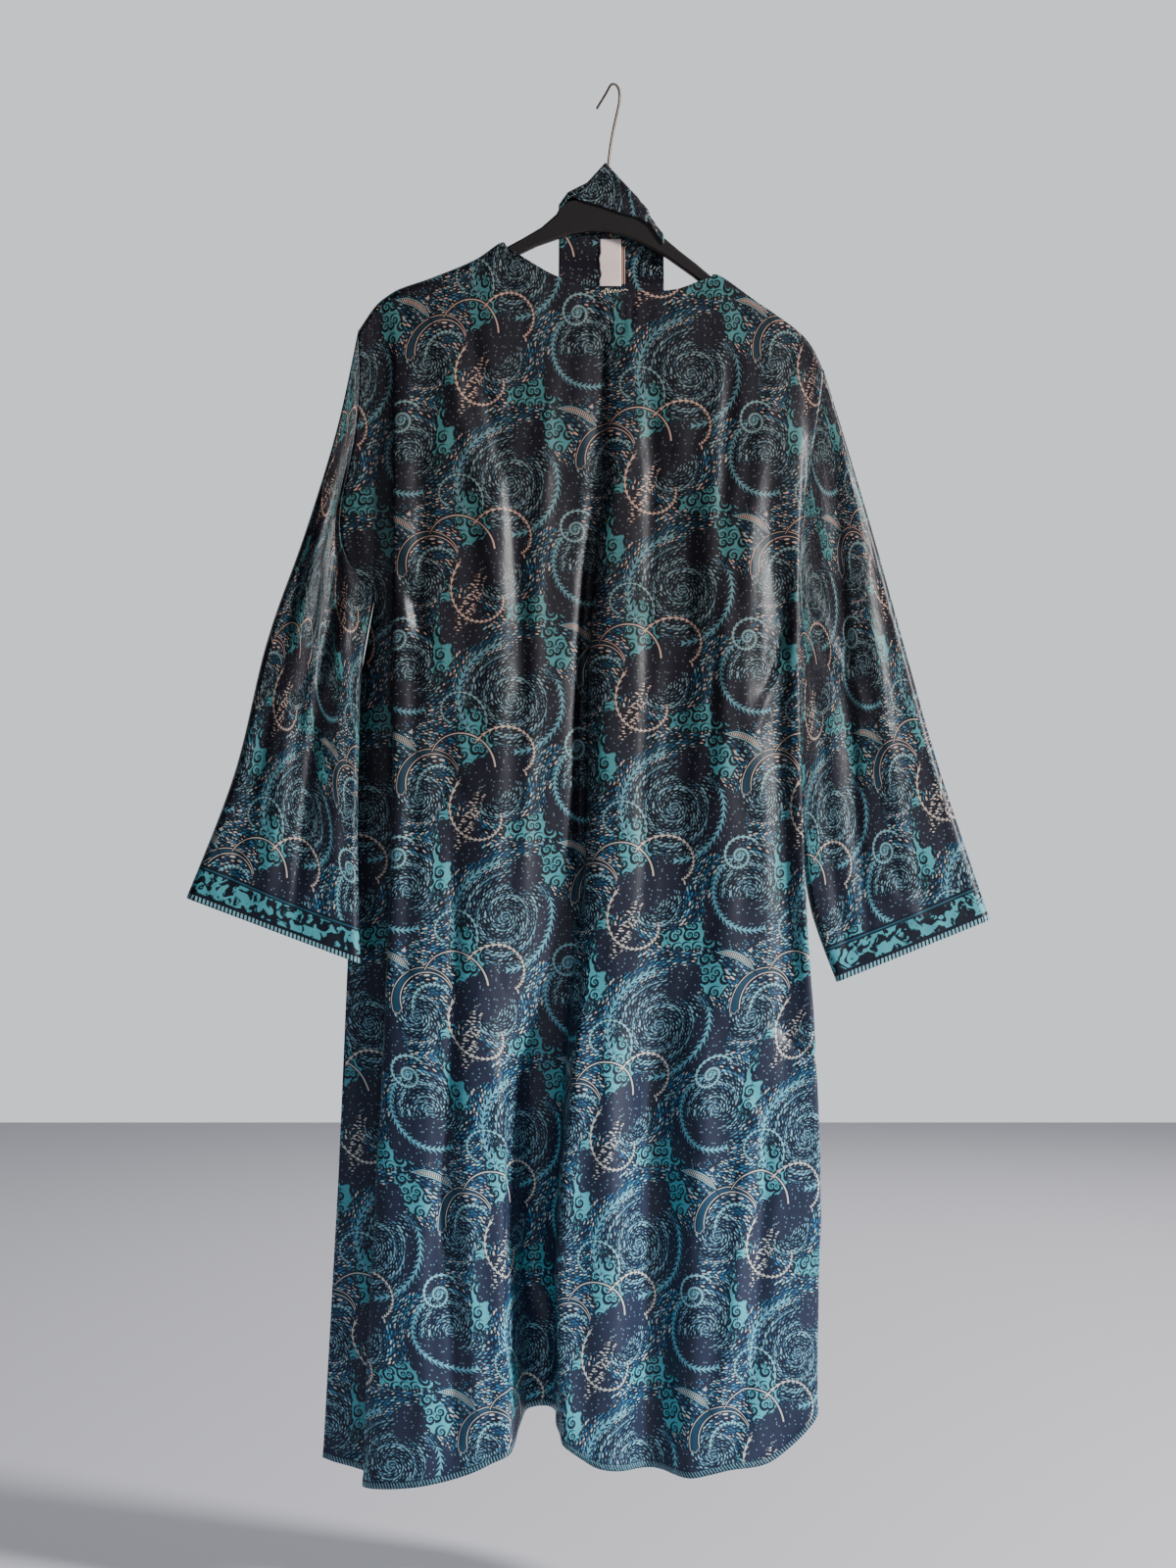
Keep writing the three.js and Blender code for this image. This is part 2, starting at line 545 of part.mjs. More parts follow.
// The middle line of the hook's wire in the hanger's frame: from the socket up its shank, out to the side, over
// the narrow crown and straight down and out to the tip.
function hookLine() {
  const inPlane = [[0, HANGER_TOP[0][1] - HOOK.socket + 1], ...HOOK_LINE];
  const points = inPlane.map(([u, z]) => new THREE.Vector3(u * Math.cos(HOOK.yaw), u * Math.sin(HOOK.yaw), z));
  return new THREE.CatmullRomCurve3(points, false, 'centripetal');
}

function hook() {
  const section = new THREE.Shape();
  section.absarc(0, 0, WIRE, 0, 2 * Math.PI);
  const path = hookLine();
  const wire = new THREE.ExtrudeGeometry(section, { steps: 40, curveSegments: 4, extrudePath: path });
  return hung(wire);
}

// ---- the whole ----------------------------------------------------------------------------------------------

const backLines = started(BACK_LINES, [...SHOULDER.left, ...SHOULDER.right]);
const back = panel(backLines, -1, true, true);
const backTop = back.outer[0];
piece('back', wall(back.outer, back.inner), 'silk');

const leftLines = started([...FRONT_LEFT_LINES, frontEdge(-1)], SHOULDER.left);
const frontLeft = panel(leftLines, 1, true, false);
piece('front_left', wall(frontLeft.outer, frontLeft.inner), 'silk');

const rightLines = started([frontEdge(1), ...FRONT_RIGHT_LINES], SHOULDER.right);
const frontRight = panel(rightLines, 1, false, true);
piece('front_right', wall(frontRight.outer, frontRight.inner), 'silk');

piece('band_left', band(-1), 'silk');
piece('band_right', band(1), 'silk');
piece('sleeve_left', sleeve('left'), 'silk');
piece('sleeve_right', sleeve('right'), 'silk');

const through = new THREE.CylinderGeometry(WIRE + 0.7, WIRE + 0.7, 70, 12);
through.rotateX(Math.PI / 2);
through.translate(0, 0, 30);
piece('neckband', cut(neckband(backTop), hung(through)), 'silk');

piece('label', tab(LABEL, backTop), 'label');
piece('label_under', tab(LABEL_UNDER, backTop), 'label');
piece('hanger', hanger(), 'plastic');
piece('hook', hook(), 'steel');

export default group;
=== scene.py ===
import math

import bpy
import numpy as np
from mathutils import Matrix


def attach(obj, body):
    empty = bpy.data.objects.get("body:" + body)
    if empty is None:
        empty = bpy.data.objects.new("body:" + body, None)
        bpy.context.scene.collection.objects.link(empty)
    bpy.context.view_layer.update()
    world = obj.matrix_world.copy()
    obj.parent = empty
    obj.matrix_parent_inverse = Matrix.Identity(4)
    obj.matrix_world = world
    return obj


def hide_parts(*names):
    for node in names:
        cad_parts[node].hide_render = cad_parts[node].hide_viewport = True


# A reversible kimono on a plastic hanger, its back outwards. The tables are in millimetres in the row's
# frame, and every mesh is in metres. Each cloth piece is a surface on the form of its solid, with its
# creases, and a wall of doubled silk behind it.

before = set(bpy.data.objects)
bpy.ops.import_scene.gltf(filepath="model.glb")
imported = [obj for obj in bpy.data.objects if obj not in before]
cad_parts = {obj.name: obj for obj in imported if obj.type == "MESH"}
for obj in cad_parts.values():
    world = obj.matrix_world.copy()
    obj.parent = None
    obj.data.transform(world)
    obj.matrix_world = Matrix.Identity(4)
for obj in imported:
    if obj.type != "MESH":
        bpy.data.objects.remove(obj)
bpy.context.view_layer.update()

MM = 0.001
SILK = 1.3  # thickness of the doubled silk
SWELL, RIPPLE, SLEEVE_SWELL = 0.55, 0.35, 0.5  # how far the slack of free silk stands out
FREE = 400.0  # distance to a cuff or hem that a piece doesn't have, beyond any border
FADE = (0.22, 0.16)  # shares of its length over which a crease fades in and out

# ---- the garment's sizes ---------------------------------------------------------------------------------

SEAM = 0.3  # gap between two pieces that are sewn together
ROUND = 8.0  # half the depth of the garment over the hanger's arms

# Armholes: x and z of both ends, how far the seam bows towards the sleeve and how low its bow sits.
ARMHOLE = {
    "left": {"top": (-253, -242), "under": (-238, -504), "bow": 29, "skew": 2.4},
    "right": {"top": (207, -281), "under": (179, -527), "bow": 5, "skew": 1.5},
}

# The front bands: width, height of the top, how far they stand out there, and below which depths that is
# eased to the shoulders' round. Then the hanger's tilt and centre, and points of the shoulder seams.
BAND = {"width": 50, "top": -165, "lift": 9.4, "eased": (200, 230)}
TILT = math.radians(4.8)
HANGER_CENTRE = (-8.7, -111.9)
SHOULDER = {
    "left": [(-235, -217), (-224, -208), (-214, -202), (-180, -190), (-137, -172), (-110, -155)],
    "right": [(100, -186.5), (143, -215), (181, -242), (194, -256)],
}

# The fold lines of a panel: its start on the neck's edge (None on a shoulder seam), the height of the hem
# there, x at the shoulder blade, underarm, waist, knee and hem, and how far the line stands out there.
BACK_LINES = [
    (None, -1364, (-234, -231, -238, -256, -270), (0, 0, -15, -14, -8)),
    (None, -1374, (-214, -212, -214, -229, -241), (1, 0, -12, -12, -8)),
    (None, -1380, (-217, -217, -220, -234, -248), (8, 12, 14, 14, 12)),
    (None, -1378, (-182, -184, -188, -200, -207), (8, 14, 18, 26, 30)),
    (None, -1368, (-140, -144, -148, -153, -153), (7, 13, 17, 27, 28)),
    (None, -1355, (-111, -115, -121, -128, -123), (5, 11, 15, 25, 22)),
    ((-104.5, -162.5), -1343, (-99, -99, -103, -113, -102), (4, 9, 12, 18, 14)),
    ((-59, -189), -1324, (-65, -72, -84, -100, -92), (3, 8, 8, 6, 0)),
    ((-28, -199), -1312, (-34, -41, -53, -79, -78), (0, 2, 0, -14, -18)),
    ((-16, -201), -1312, (-20, -28, -37, -55, -66), (-1, -1, -4, -9, -11)),
    ((-8, -202), -1320, (-13, -22, -32, -50, -59), (3, 6, 8, 14, 12)),
    ((17, -204), -1356, (14, 8, 1, -14, -20), (6, 12, 18, 28, 28)),
    ((59, -203), -1364, (59, 55, 51, 43, 40), (6, 10, 12, 14, 16)),
    ((93.5, -191.5), -1369, (88, 84, 82, 76, 74), (7, 13, 16, 20, 20)),
    (None, -1362, (105, 109, 113, 117, 111), (8, 15, 18, 24, 24)),
    (None, -1354, (146, 150, 153, 162, 155), (8, 13, 16, 18, 16)),
    (None, -1309, (183, 181, 186, 200, 200), (6, 9, 12, 10, 8)),
    (None, -1305, (188, 176, 173, 182, 186), (1, 1, 0, -1, -2)),
]
FRONT_LEFT_LINES = [
    (None, -1337, (-234, -231, -240, -258, -271), (1, 2, 9, 8, 4)),
    (None, -1340, (-216, -214, -226, -244, -256), (3, 6, 15, 14, 10)),
    (None, -1343, (-207, -205, -206, -225, -236), (5, 9, 18, 19, 15)),
    (None, -1345, (-177, -178, -186, -206, -216), (7, 12, 16, 13, 14)),
    (None, -1345, (-140, -150, -162, -188, -201), (6, 10, 18, 21, 22)),
    (None, -1342, (-115, -123, -136, -172, -188), (4, 8, 12, 16, 16)),
    ((-104.5, -162.5), -1340, (-101, -107, -120, -158, -175), (4, 8, 11, 13, 13)),
]
FRONT_RIGHT_LINES = [
    ((93.5, -191.5), -1343, (86, 78, 69, 41, 32), (4, 8, 10, 12, 12)),
    (None, -1345, (100, 98, 92, 82, 80), (4, 8, 12, 18, 18)),
    (None, -1333, (140, 136, 132, 132, 136), (7, 12, 14, 12, 14)),
    (None, -1310, (176, 158, 146, 152, 160), (4, 7, 9, 12, 12)),
    (None, -1299, (187, 173, 159, 167, 173), (1, 1, 1, 2, 2)),
]

# The side seams below the arms: x and y by height.
SIDE = {
    "left": {"z": (-512, -580, -660, -790, -1080, -1358), "x": (-238, -251, -257, -262, -274, -289),
             "y": (0, 8, 12, 13, 9, 4)},
    "right": {"z": (-535, -620, -700, -800, -1080, -1305), "x": (179, 172, 168, 165, 173, 179),
              "y": (0, 0, 0, 0, 0, 0)},
}

# The front opening by height: its centre and its width. Then the fronts' edges beside it: the height of the
# top and of each hem, left -1 and right 1, and how far they stand out.
OPENING = {
    "z": (-150, -350, -520, -800, -1080, -1345),
    "centre": (-2.9, -4.8, -14.5, -29.9, -51.1, -76.2),
    "gap": (3, 3, 3.8, 13, 34, 66),
}
EDGE = {"top": -212, "hem": {-1: -1338, 1: -1340}, "proud": (3, 6, 8, 9, 9)}

# The sleeves: x and z down the top fold and down the lower one, half the depth and the middle's y, and the
# broad folds: place across the face, width, and how far each stands out on the near and on the far face.
SLEEVES = {
    "left": {
        "top": ((-253, -242), (-274, -340), (-306, -445), (-343, -551), (-375, -681), (-422, -803)),
        "under": ((-238, -512), (-249, -575), (-252, -652), (-253, -730), (-252, -799), (-250, -868)),
        "depth": (8, 9, 9.5, 9.5, 9, 8), "middle": (0, -3, -5, -6, -7, -8),
        "folds": ((0.3, 0.14, 4, 2), (0.6, 0.12, -3, 3))},
    "right": {
        "top": ((207, -281), (231, -358), (257, -445), (288, -556), (321, -672), (372, -825)),
        "under": ((179, -535), (179, -594), (180, -667), (184, -739), (195, -816), (220, -887)),
        "depth": (8, 9, 9.5, 9.5, 9, 8), "middle": (0, 3, 5, 6, 6, 5),
        "folds": ((0.35, 0.15, 3, 3), (0.7, 0.1, -3, 2))},
}

# The neckband: heights of its ridge and of its flap's foot by x. Its distance from the middle plane, the
# same at its peak, and between which distances from the peak it widens. How high its column climbs, how
# much further it rises before it folds over, and the least drop between its parts. The thickness of the
# solid's wall, how far its ridge clears the hanger, and the thickness of its silk.
NECKBAND = {
    "x": (-55, -46, -27, -8.7, 6, 24, 36, 49),
    "ridge": (-118, -105.5, -96, -76, -92, -111, -129, -149),
    "flap": (-126, -110, -117, -122, -127.5, -132, -139, -158),
    "depth": 7.3, "pinch": 3.6, "pinched": (4, 26), "climb": 36, "rise": 4, "least": 1,
    "wall": 1.6, "crest": 4.2, "silk": 1.5,
}
COLUMN_ROWS = (0, 0.2, 0.4, 0.6, 0.8, 1)  # places up the column where the solid has its rows

# The hanger's top edge, from its middle to the end of one arm.
HANGER_TOP = ((0, -3), (30, -3), (38, -6), (43.7, -11.5), (47, -20), (60.5, -34), (78, -46.5), (95, -57.5),
              (111, -69), (123, -77), (160, -96.5), (197, -117), (204, -122))


# ---- curves and surfaces ---------------------------------------------------------------------------------

def smoothstep(x, low, high):
    t = np.clip((np.asarray(x, float) - low) / (high - low), 0, 1)
    return t * t * (3 - 2 * t)


def knots(values, s):
    """A smooth curve through evenly spaced values: between two of them it is the cubic that leaves each at
    half the difference of its two neighbours."""
    values = np.asarray(values, float)
    last = len(values) - 1
    i = np.clip(np.floor(s).astype(int), 0, last - 1)
    before, here, there, after = (values[np.clip(i + k, 0, last)] for k in (-1, 0, 1, 2))
    t = s - i
    return ((2 * t**3 - 3 * t**2 + 1) * here + (t**3 - 2 * t**2 + t) * (there - before) / 2
            + (3 * t**2 - 2 * t**3) * there + (t**3 - t**2) * (after - here) / 2)


def falling(keys, values, key):
    """A straight-line reading of a table whose keys fall."""
    return np.interp(-np.asarray(key, float), -np.asarray(keys, float), values)


def through(controls, counts):
    """The centripetal Catmull-Rom curve of each row of control points: the knots are spaced by the square
    root of the distance, and each segment is the Hermite cubic with the tangents which that spacing gives.
    counts holds the steps of each segment."""
    first = 2 * controls[:, :1] - controls[:, 1:2]
    final = 2 * controls[:, -1:] - controls[:, -2:-1]
    p = np.concatenate([first, controls, final], axis=1)
    gap = np.maximum(np.linalg.norm(np.diff(p, axis=1), axis=2), 1e-4) ** 0.5
    columns = []
    for i, count in enumerate(counts):
        p0, p1, p2, p3 = (p[:, i + k] for k in range(4))
        g0, g1, g2 = (gap[:, i + k, None] for k in range(3))
        leave = ((p1 - p0) / g0 - (p2 - p0) / (g0 + g1) + (p2 - p1) / g1) * g1
        arrive = ((p2 - p1) / g1 - (p3 - p1) / (g1 + g2) + (p3 - p2) / g2) * g1
        final_one = i == len(counts) - 1
        t = np.linspace(0, 1, count + 1)[: None if final_one else -1][None, :, None]
        columns.append((2 * t**3 - 3 * t**2 + 1) * p1[:, None] + (t**3 - 2 * t**2 + t) * leave[:, None]
                       + (3 * t**2 - 2 * t**3) * p2[:, None] + (t**3 - t**2) * arrive[:, None])
    return np.concatenate(columns, axis=1)


def along(points):
    """The distance walked along each row of points, from its first."""
    walk = np.linalg.norm(np.diff(points, axis=1), axis=2)
    return np.concatenate([np.zeros((len(points), 1)), np.cumsum(walk, axis=1)], axis=1)


def normals(grid, towards):
    """Unit normals of a grid, from the cross product of its two directions, on the side of towards."""
    across = np.gradient(grid, axis=1)
    down = np.gradient(grid, axis=0)
    n = np.cross(across, down)
    n /= np.maximum(np.linalg.norm(n, axis=2, keepdims=True), 1e-9)
    return n if np.sum(n[..., 1]) * towards >= 0 else -n


def crease(x, z, path, width, lean=0.0):
    """How strongly a crease acts at each point: 1 on the path, falling off as a bell over its width,
    narrower on its left than on its right where lean is over 0, and fading out to both ends of the path."""
    path = np.asarray(path, float)
    steps = np.linalg.norm(np.diff(path, axis=0), axis=1)
    start = np.concatenate([[0], np.cumsum(steps)])
    best = np.full(x.shape, 1e9)
    place = np.zeros(x.shape)
    side = np.zeros(x.shape)
    for a, b, length, walked in zip(path[:-1], path[1:], steps, start):
        way = (b - a) / length
        t = np.clip((x - a[0]) * way[0] + (z - a[1]) * way[1], 0, length)
        dx = x - a[0] - t * way[0]
        dz = z - a[1] - t * way[1]
        distance = np.hypot(dx, dz)
        nearer = distance < best
        best = np.where(nearer, distance, best)
        place = np.where(nearer, (walked + t) / start[-1], place)
        side = np.where(nearer, np.sign(dx * -way[1] + dz * way[0]), side)
    reach = width * (1 + lean * side)
    fade = smoothstep(place, 0, FADE[0]) * smoothstep(1 - place, 0, FADE[1])
    return np.exp(-((best / reach) ** 2)) * fade


def relief(x, z, creases):
    """How far the cloth stands out at x and z: the sum of its creases (depth, width, lean, path)."""
    out = np.zeros(x.shape)
    for depth, width, lean, path in creases:
        out += depth * crease(x, z, path, width, lean)
    return out


def creased(grid, creases, towards, hold):
    """The grid moved along its normals by its creases and by the slack of silk: products of two sines, low
    and uneven, longer down the cloth than across. hold is 0 where the cloth is sewn down and 1 where
    free."""
    x, z = grid[..., 0], grid[..., 2]
    out = relief(x, z, creases)
    out += SWELL * np.sin(x / 9.5 + 1.7 * np.sin(z / 88) + z / 210) * np.sin(z / 61 + x / 33 + 0.6)
    out += RIPPLE * np.sin(x / 4.6 - z / 47 + 2.1 * np.sin(z / 39)) * np.sin(z / 27 - x / 21)
    return grid + normals(grid, towards) * (out * hold)[..., None]


def placed(name, data):
    """An object with this data, linked into the scene."""
    thing = bpy.data.objects.new(name, data)
    bpy.context.scene.collection.objects.link(thing)
    return thing


def laid(name, grid, uv, material, edge=None, hem=None, ring=False, towards=None, thickness=SILK):
    """A mesh from a grid of points in millimetres, with its cloth coordinates in metres, the distances to
    its cuff and to its hem in millimetres and a wall on the inner side. A ring's last column joins its
    first."""
    rows, columns = grid.shape[:2]
    spans = columns if ring else columns - 1
    r, c = np.meshgrid(np.arange(rows - 1), np.arange(spans), indexing="ij")
    corner_rows = np.stack([r, r + 1, r + 1, r], axis=-1).reshape(-1, 4)
    corner_columns = np.stack([c, c, c + 1, c + 1], axis=-1).reshape(-1, 4)
    index = corner_rows * columns + corner_columns % columns
    points = grid.reshape(-1, 3)
    a, b, d = (points[index[:, k]] for k in (0, 1, 3))
    facing = np.cross(b - a, d - a)
    if ring:
        middle = grid.mean(axis=1)[corner_rows[:, 0]]
        outward = np.sum(facing * (points[index].mean(axis=1) - middle))
    else:
        outward = np.sum(facing[:, 1]) * towards
    if outward < 0:
        index = index[:, ::-1]
        corner_rows = corner_rows[:, ::-1]
        corner_columns = corner_columns[:, ::-1]
    mesh = bpy.data.meshes.new(name)
    mesh.from_pydata((points * MM).tolist(), [], index.tolist())
    layer = mesh.uv_layers.new(name="cloth")
    layer.data.foreach_set("uv", uv[corner_rows, corner_columns].astype(np.float32).ravel())
    for kind, distances in (("edge", edge), ("hem", hem)):
        rim = mesh.attributes.new(kind, "FLOAT", "POINT")
        known = np.full(grid.shape[:2], FREE) if distances is None else distances
        rim.data.foreach_set("value", known.reshape(-1).astype(np.float32))
    mesh.polygons.foreach_set("use_smooth", np.ones(len(mesh.polygons), bool))
    mesh.materials.append(material)
    piece = placed(name, mesh)
    wall = piece.modifiers.new("wall", "SOLIDIFY")
    wall.thickness = thickness * MM
    wall.offset = -1
    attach(piece, "root")
    return piece


# ---- the body's panels -----------------------------------------------------------------------------------

def body_rows(over, arm, under, fall):
    """Rows of a panel: over the shoulder's round, down the armhole, under its end and down to the hem."""
    none = np.zeros
    return {
        "over": np.concatenate([np.linspace(np.pi / 2, 0, over + 1)[:-1], none(arm + 1 + under + fall)]),
        "t": np.concatenate([none(over), np.linspace(0, 1, arm + 1), np.ones(under + fall)]),
        "under": np.concatenate([none(over + arm + 1), np.linspace(0, np.pi / 2, under + 1)[1:],
                                 np.full(fall, np.pi / 2)]),
        "fall": np.concatenate([none(over + arm + 1 + under), np.linspace(0, 1, fall + 1)[1:]]),
    }


ROWS = body_rows(over=5, arm=56, under=4, fall=158)


def underarm(x):
    """Height of the underarm level at x."""
    left, right = ARMHOLE["left"]["under"], ARMHOLE["right"]["under"]
    return left[1] + (right[1] - left[1]) * (x - left[0]) / (right[0] - left[0])


def armhole(side, t):
    """The armhole's seam from the shoulder to the underarm, which bows towards the sleeve."""
    hole = ARMHOLE[side]
    x = hole["top"][0] + (hole["under"][0] - hole["top"][0]) * t
    z = hole["top"][1] - ROUND + (hole["under"][1] - hole["top"][1] + ROUND) * t
    return x - hole["bow"] * np.sin(np.pi * t ** hole["skew"]), z


def heights(top, hem, level):
    """Height of each row on a line from top to hem whose underarm level is level."""
    r = ROWS
    end = level - ROUND * np.sin(r["under"])
    upper = np.where(r["over"] > 0, top - ROUND * (1 - np.sin(r["over"])),
                     top - ROUND + (level - top + ROUND) * r["t"])
    return np.where(r["under"] > 0, end + (hem - end) * r["fall"], upper)


def fold_line(start, top, neck, hem, places, proud, facing):
    """The points of one fold line: x and its standing out are smooth curves through the table's places.
    s counts them: 0 is the start, 2 the underarm and 5 the hem."""
    level = underarm(places[1] if places else 0)
    z = heights(top, hem, level)
    s = np.where(ROWS["under"] > 0, 2 + 3 * (level - z) / (level - hem), 2 * ROWS["t"])
    out = ROUND + knots((0, *proud), s)
    if not neck:
        out = out * np.cos(ROWS["over"])
    x = knots((start, *places), s) if places else start(z)
    return np.stack([x, facing * out, z], axis=1)


def side_line(side, facing):
    """The armhole's seam, then the side seam down to the hem."""
    inward = 1 if side == "left" else -1
    seam = SIDE[side]
    z = heights(ARMHOLE[side]["top"][1], seam["z"][-1], ARMHOLE[side]["under"][1])
    hole_x = armhole(side, ROWS["t"])[0]
    falling_part = ROWS["fall"] > 0
    x = np.where(falling_part, falling(seam["z"], seam["x"], z), hole_x) + inward * SEAM
    round_out = np.maximum(ROUND * np.cos(np.maximum(ROWS["over"], ROWS["under"])), SEAM / 2)
    y = np.where(falling_part, falling(seam["z"], seam["y"], z) + facing * SEAM / 2, facing * round_out)
    return np.stack([x, y, z], axis=1)


def band_edge(side, z, across):
    """x of a band at height z, across millimetres out from the opening."""
    return (falling(OPENING["z"], OPENING["centre"], z)
            + side * (falling(OPENING["z"], OPENING["gap"], z) / 2 + across))


def panel_grid(lines, facing, left=False, right=False, opening=0, fine=2.3):
    """A panel: every row is a smooth curve through its fold lines, in steps of about fine millimetres."""
    places = iter([*(SHOULDER["left"] if left else []), *(SHOULDER["right"] if right else [])])
    controls = []
    for start, hem, x, proud in lines:
        place = start or next(places)
        controls.append(fold_line(place[0], place[1], start is not None, hem, x, proud, facing))
    if opening:
        edge = fold_line(lambda z: band_edge(opening, z, BAND["width"] + SEAM), EDGE["top"], True,
                         EDGE["hem"][opening], (), EDGE["proud"], facing)
        controls.insert(0 if opening > 0 else len(controls), edge)
    if left:
        controls.insert(0, side_line("left", facing))
    if right:
        controls.append(side_line("right", facing))
    controls = np.stack(controls, axis=1)
    widths = np.linalg.norm(np.diff(controls, axis=1), axis=2).mean(axis=0)
    counts = np.maximum(np.ceil(widths / fine).astype(int), 3)
    grid = through(controls, counts)
    over = ROWS["over"] > 0
    grid[over, :, 1] = facing * np.maximum(facing * grid[over, :, 1], SEAM / 2)
    return grid


# How far from its top and from its sewn seams a panel starts to come free, and where it is free.
HELD = {"top": (4, 22), "seam": (1, 14)}


def panel_hold(grid, left, right):
    """0 along the sewn edges of a panel, and 1 where the cloth is free."""
    walk = along(grid)
    fallen = np.cumsum(np.abs(np.gradient(grid[:, 0, 2])))[:, None]
    hold = smoothstep(fallen * np.ones(walk.shape), *HELD["top"])
    if left:
        hold = hold * smoothstep(walk, *HELD["seam"])
    if right:
        hold = hold * smoothstep(walk[:, -1:] - walk, *HELD["seam"])
    return hold


# Creases: how far they stand out (troughs below 0), their width, lean and path of x and z.
BACK_CREASES = [
    (-4.0, 16, 0, [(-84, -880), (-86, -1000), (-88, -1180), (-82, -1400)]),
    (-12.0, 10, 0, [(-62, -1170), (-70, -1240), (-73, -1330), (-72, -1450)]),
    (-2.5, 10, 0.2, [(-62, -960), (-68, -1060), (-80, -1180), (-80, -1330)]),
    (5.0, 22, 0, [(-138, -880), (-134, -1050), (-128, -1200), (-122, -1450)]),
    (7.0, 8, -0.3, [(-112, -930), (-114, -1060), (-113, -1200), (-106, -1400)]),
    (13.0, 8.5, 0.4, [(-34, -850), (-36, -985), (-44, -1080), (-48, -1160), (-48, -1240), (-42, -1400)]),
    (6.0, 24, 0, [(-8, -860), (-8, -1050), (-14, -1200), (-10, -1450)]),
    (-13.0, 19, 0, [(38, -880), (42, -1080), (40, -1230), (36, -1450)]),
    (6.5, 16, 0, [(84, -860), (84, -1050), (78, -1230), (74, -1450)]),
    (-4.0, 11, 0, [(-244, -760), (-252, -900), (-258, -1100), (-264, -1450)]),
    (-5.5, 12, 0.2, [(156, -330), (158, -480), (158, -660), (166, -860), (170, -1020)]),
    (-4.5, 20, 0, [(-172, -560), (-166, -760), (-168, -980), (-172, -1260)]),
    (-5.0, 18, 0, [(64, -330), (66, -480), (60, -640), (58, -860)]),
    (4.0, 16, 0, [(96, -330), (104, -520), (108, -720), (114, -980)]),
    (4.0, 16, 0, [(-110, -330), (-116, -480), (-116, -640), (-118, -830)]),
    (-5.5, 4.6, 0, [(-10, -190), (-14, -409), (-22, -463), (-25, -504), (-29, -531), (-32, -616),
                    (-34, -778), (-36, -900), (-38, -985), (-44, -1040)]),
    (2.4, 12, 0.3, [(6, -230), (2, -409), (-6, -500), (-13, -616), (-16, -778), (-18, -870)]),
    (2.0, 12, -0.3, [(-28, -230), (-32, -409), (-42, -500), (-50, -616), (-52, -778), (-56, -870)]),
    (3.5, 8, 0.35, [(-150, -1010), (-146, -1120), (-140, -1230), (-134, -1345)]),
    (-3.4, 7, 0, [(-166, -1040), (-160, -1150), (-156, -1370)]),
    (2.6, 9, -0.2, [(-184, -860), (-182, -1010), (-188, -1180), (-184, -1378)]),
    (-3.4, 7, 0.2, [(-160, -700), (-158, -860), (-163, -1010), (-166, -1190)]),
    (-3.2, 9, 0, [(-196, -300), (-190, -430), (-196, -580), (-200, -760), (-208, -960)]),
    (2.6, 10, 0, [(-170, -240), (-150, -330), (-128, -420), (-112, -540)]),
    (-2.6, 8, 0, [(-150, -215), (-128, -300), (-104, -400), (-92, -520), (-88, -640)]),
    (2.4, 9, 0, [(-62, -230), (-66, -330), (-72, -440), (-80, -560), (-86, -720), (-96, -880)]),
    (-3.0, 8, 0, [(34, -240), (38, -380), (34, -540), (30, -700), (28, -860)]),
    (2.0, 10, 0, [(60, -260), (66, -400), (62, -560), (58, -730), (56, -900)]),
    (3.0, 10, 0, [(-6, -960), (-4, -1080), (2, -1200), (0, -1350)]),
    (-5.0, 7, 0.4, [(150, -1000), (146, -1091), (136, -1251), (108, -1366)]),
    (4.0, 9, 0, [(132, -1010), (126, -1120), (114, -1240), (88, -1360)]),
    (-3.0, 6, 0, [(150, -915), (172, -938), (198, -968)]),
    (2.6, 6, 0, [(124, -990), (138, -1020), (160, -1040)]),
    (2.6, 9, 0, [(166, -270), (146, -350), (132, -450), (128, -580), (134, -720)]),
    (-3.0, 8, 0, [(120, -215), (112, -320), (106, -440), (98, -560), (94, -700)]),
    (-3.2, 7, -0.2, [(178, -420), (168, -520), (166, -640), (172, -780), (182, -920)]),
    (2.4, 8, 0, [(186, -640), (188, -760), (194, -900), (202, -1060), (206, -1200)]),
    (-2.6, 6, 0, [(-212, -470), (-196, -520), (-176, -560)]),
    (2.2, 6, 0, [(-214, -500), (-198, -548), (-180, -600)]),
    (-2.6, 6, 0, [(176, -520), (160, -560), (142, -610)]),
    (2.0, 6, 0, [(172, -560), (150, -610), (132, -650)]),
    (-2.0, 6, 0, [(-180, -640), (-150, -700), (-120, -730)]),
    (-2.0, 6, 0, [(60, -1010), (84, -1060), (110, -1080)]),
    *((-1.5, 3.4, 0, [(x, -198), (x - 1, -216), (x - 3, -214 - fall)])
      for x, fall in ((-31, 34), (-24, 46), (-18, 30), (-3, 40), (4, 28), (11, 38), (19, 24))),
]
